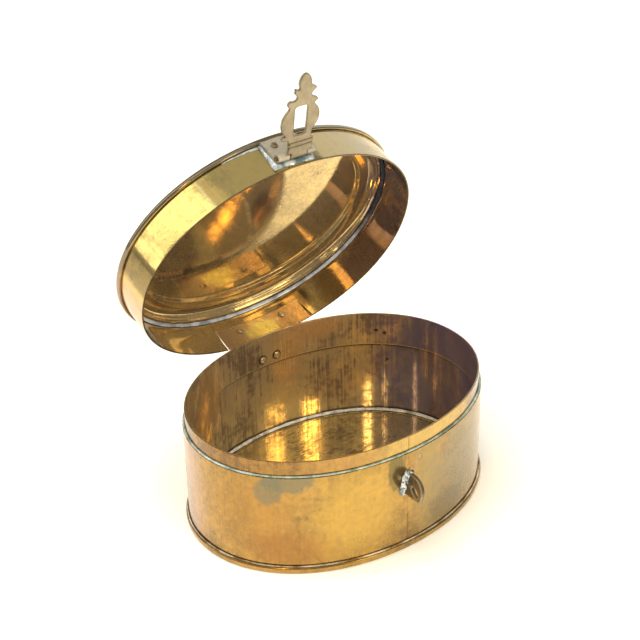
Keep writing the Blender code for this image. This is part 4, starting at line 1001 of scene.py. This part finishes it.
# %% Ease the edges and assign finishes
FITTING_BRASS = aged_brass("filed_cast_brass", ("#b2a080", "#968768", "#3c3020"), 0.5,
                           (0.3, 0.45), (0.35, 0.55), streaks=0.2, line_strength=0.3,
                           edge=("#43362a", 1.0, 1.1), seed=1.3)
LEAF_BRASS = aged_brass("solder_smeared_brass", ("#d4cab2", "#aea288", "#3c3020"), 0.5,
                        (0.3, 0.45), (0.35, 0.55), streaks=0.2, line_strength=0.3,
                        edge=("#54483a", 0.9, 0.9), seed=1.1)
# The staple's pale edge tint is a painted highlight.
STAPLE_BRASS = aged_brass("dark_filed_brass_with_painted_light", ("#8c7650", "#5c4c2e", "#2c2216"), 0.5,
                          (0.28, 0.42), (0.3, 0.5), streaks=0.2, line_strength=0.3,
                          edge=("#e8d2a4", 0.95, 1.2), seed=1.5)
WIRE_BRASS = aged_brass("drawn_brass_wire", ("#b89a6c", "#6c5230", "#2c1c0c"), 0.5,
                        (0.2, 0.3), (0.2, 0.4), seed=2.1)
FILED_CREASE = radians(35)
FITTINGS = {
    "hinge_body_leaf": (WALL_BRASS, 0.12),
    "hinge_lid_leaf": (WALL_BRASS, 0.12),
    "hinge_pin": (WIRE_BRASS, 0.0),
    "hasp_pin": (WIRE_BRASS, 0.0),
    "staple": (STAPLE_BRASS, 0.15),
    "hasp_leaf": (LEAF_BRASS, 0.15),
    # The leaf's rivet takes the dark brass as a painted shade for the dimple it sits in.
    "hasp_leaf_rivet": (STAPLE_BRASS, 0.0),
    "hasp": (FITTING_BRASS, 0.2),
}
for node_name, (material, bevel) in FITTINGS.items():
    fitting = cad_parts[node_name]
    for slot in fitting.material_slots:
        slot.material = material
    if bevel:
        ease_edges(fitting, bevel, FILED_CREASE)
        fitting.modifiers.new("even_shading", "WEIGHTED_NORMAL")
    print("%-18s %5d faces, %s" % (node_name, len(fitting.data.polygons), material.name))

# %% [markdown]
# ## The floor
# The box stands on a pale, matt ground that the light bleaches. A plain sheet of paper does that,
# and a little glow of its own keeps it white round the box without washing out the shadow.

# %% Floor
FLOOR_REACH = 4
FLOOR_WHITE = linear("#fbf8ee")
corners = [(-1, -1, 0), (1, -1, 0), (1, 1, 0), (-1, 1, 0)]
floor_mesh = bpy.data.meshes.new("floor")
floor_mesh.from_pydata((np.array(corners) * FLOOR_REACH).tolist(), [], [(0, 1, 2, 3)])
floor = bpy.data.objects.new("floor", floor_mesh)
bpy.context.scene.collection.objects.link(floor)
paper = bpy.data.materials.new("matt_white_paper")
paper.use_nodes = True
paper_shader = paper.node_tree.nodes["Principled BSDF"]
paper_shader.inputs["Base Color"].default_value = FLOOR_WHITE
paper_shader.inputs["Roughness"].default_value = 0.9
paper_shader.inputs["Emission Color"].default_value = FLOOR_WHITE
paper_shader.inputs["Emission Strength"].default_value = 0.2
floor_mesh.materials.append(paper)
print("floor: %d m wide" % (2 * FLOOR_REACH))

# %% [markdown]
# ## The light
# Brass shows its surroundings more than itself. One large soft light would leave it flat, so two
# fills that mirrors don't see give an even light, and the others are what the brass reflects.
# Narrow warm panes stand where it shows bright golden bars, a long softbox behind the left
# shoulder brightens the skirt, and a weak one at the right lifts the dark end. Each is placed by
# its compass turn, where 0 is behind the box, and by its rise above the floor. Its radiance is
# the brightness of its face, so a pane can grow without looking brighter. Pale surroundings
# fill what is left.

# %% Lights
LIGHT_AIM = Vector((0, 0, 0.08))
PANE_DISTANCE = 2.2
WHITE = (1.0, 1.0, 1.0)
SURROUNDINGS, SURROUNDINGS_STRENGTH = linear("#e8eaea"), 0.3


def soft_light(name, turn, rise, far, size, radiance, colour=WHITE, mirrored=True):
    """A rectangular light aimed at the box, placed by turn and rise in degrees."""
    light = bpy.data.lights.new(name, "AREA")
    light.shape = "RECTANGLE"
    light.size, light.size_y = size
    light.energy = radiance * pi * size[0] * size[1]
    light.color = colour
    lamp = bpy.data.objects.new(name, light)
    bpy.context.scene.collection.objects.link(lamp)
    way = Vector((sin(radians(turn)) * cos(radians(rise)),
                  cos(radians(turn)) * cos(radians(rise)), sin(radians(rise))))
    lamp.location = LIGHT_AIM + way * far
    lamp.rotation_euler = (-way).to_track_quat("-Z", "Y").to_euler()
    lamp.visible_glossy = mirrored
    print("%-18s %6.2f W" % (name, light.energy))


soft_light("overhead_fill", -50, 72, 2.5, (1.7, 1.7), 4.8, mirrored=False)
soft_light("front_fill", 175, 50, 2.4, (1.4, 1.4), 2.3, mirrored=False)
PANES = (
    ("ceiling_bounce", 0, 85, (1.6, 1.6), 0.55, WHITE),
    ("front_window", 171, 34, (0.3, 0.62), 6.5, (1.0, 0.8, 0.38)),
    ("front_pane", 149, 34, (0.26, 0.5), 3.0, (1.0, 0.76, 0.4)),
    ("low_front_pane", 162, 12, (1.0, 0.45), 1.7, (1.0, 0.92, 0.7)),
    ("high_front_pane", 157, 46, (1.35, 0.46), 2.6, (1.0, 0.92, 0.68)),
    ("left_pane_wide", -147, 34, (0.22, 0.3), 5.0, (1.0, 0.85, 0.6)),
    ("left_pane_narrow", -131, 33, (0.1, 0.26), 4.0, (1.0, 0.85, 0.6)),
    ("side_pane", -97, 32, (0.1, 0.3), 4.0, (1.0, 0.8, 0.5)),
    ("ceiling_pane", -125, 55, (0.32, 0.26), 27.0, (1.0, 0.68, 0.16)),
    ("back_softbox", -54, 35.5, (0.4, 2.6), 2.2, WHITE),
    ("right_softbox", 62, 20, (1.6, 1.8), 0.8, WHITE),
)
for name, turn, rise, size, radiance, colour in PANES:
    soft_light(name, turn, rise, PANE_DISTANCE, size, radiance, colour)

world = bpy.data.worlds.new("studio")
bpy.context.scene.world = world
world.use_nodes = True
backdrop = world.node_tree.nodes["Background"]
backdrop.inputs["Color"].default_value = SURROUNDINGS
backdrop.inputs["Strength"].default_value = SURROUNDINGS_STRENGTH

# %% [markdown]
# ## The camera
# The camera stands where the photograph was taken from. It could be set by eye, but an oval seen
# at an angle tells more: the place, the turn and the focal length were fitted to the edges of the
# foot, the rim and the lid. Three directions, to its right, up and back, give its turn.

# %% Camera
FOCAL_LENGTH, SENSOR_WIDTH = 81.82, 36.0
CAMERA_PLACE = Vector((-338.6, -458.2, 423.8))
lens = bpy.data.cameras.new("camera")
lens.lens = FOCAL_LENGTH
lens.sensor_width = SENSOR_WIDTH
lens.clip_start = 0.01
camera = bpy.data.objects.new("camera", lens)
bpy.context.scene.collection.objects.link(camera)
right = Vector((0.80336, -0.59515, -0.01999))
up = Vector((0.31311, 0.39362, 0.86431))
back = Vector((-0.50653, -0.70061, 0.50257))
facing = Matrix((right, up, back)).transposed().to_4x4()
camera.matrix_world = Matrix.Translation(CAMERA_PLACE * MM) @ facing
bpy.context.scene.camera = camera
bpy.context.scene.view_settings.view_transform = "Standard"
print("camera %.0f mm from the middle of the box's foot" % CAMERA_PLACE.length)
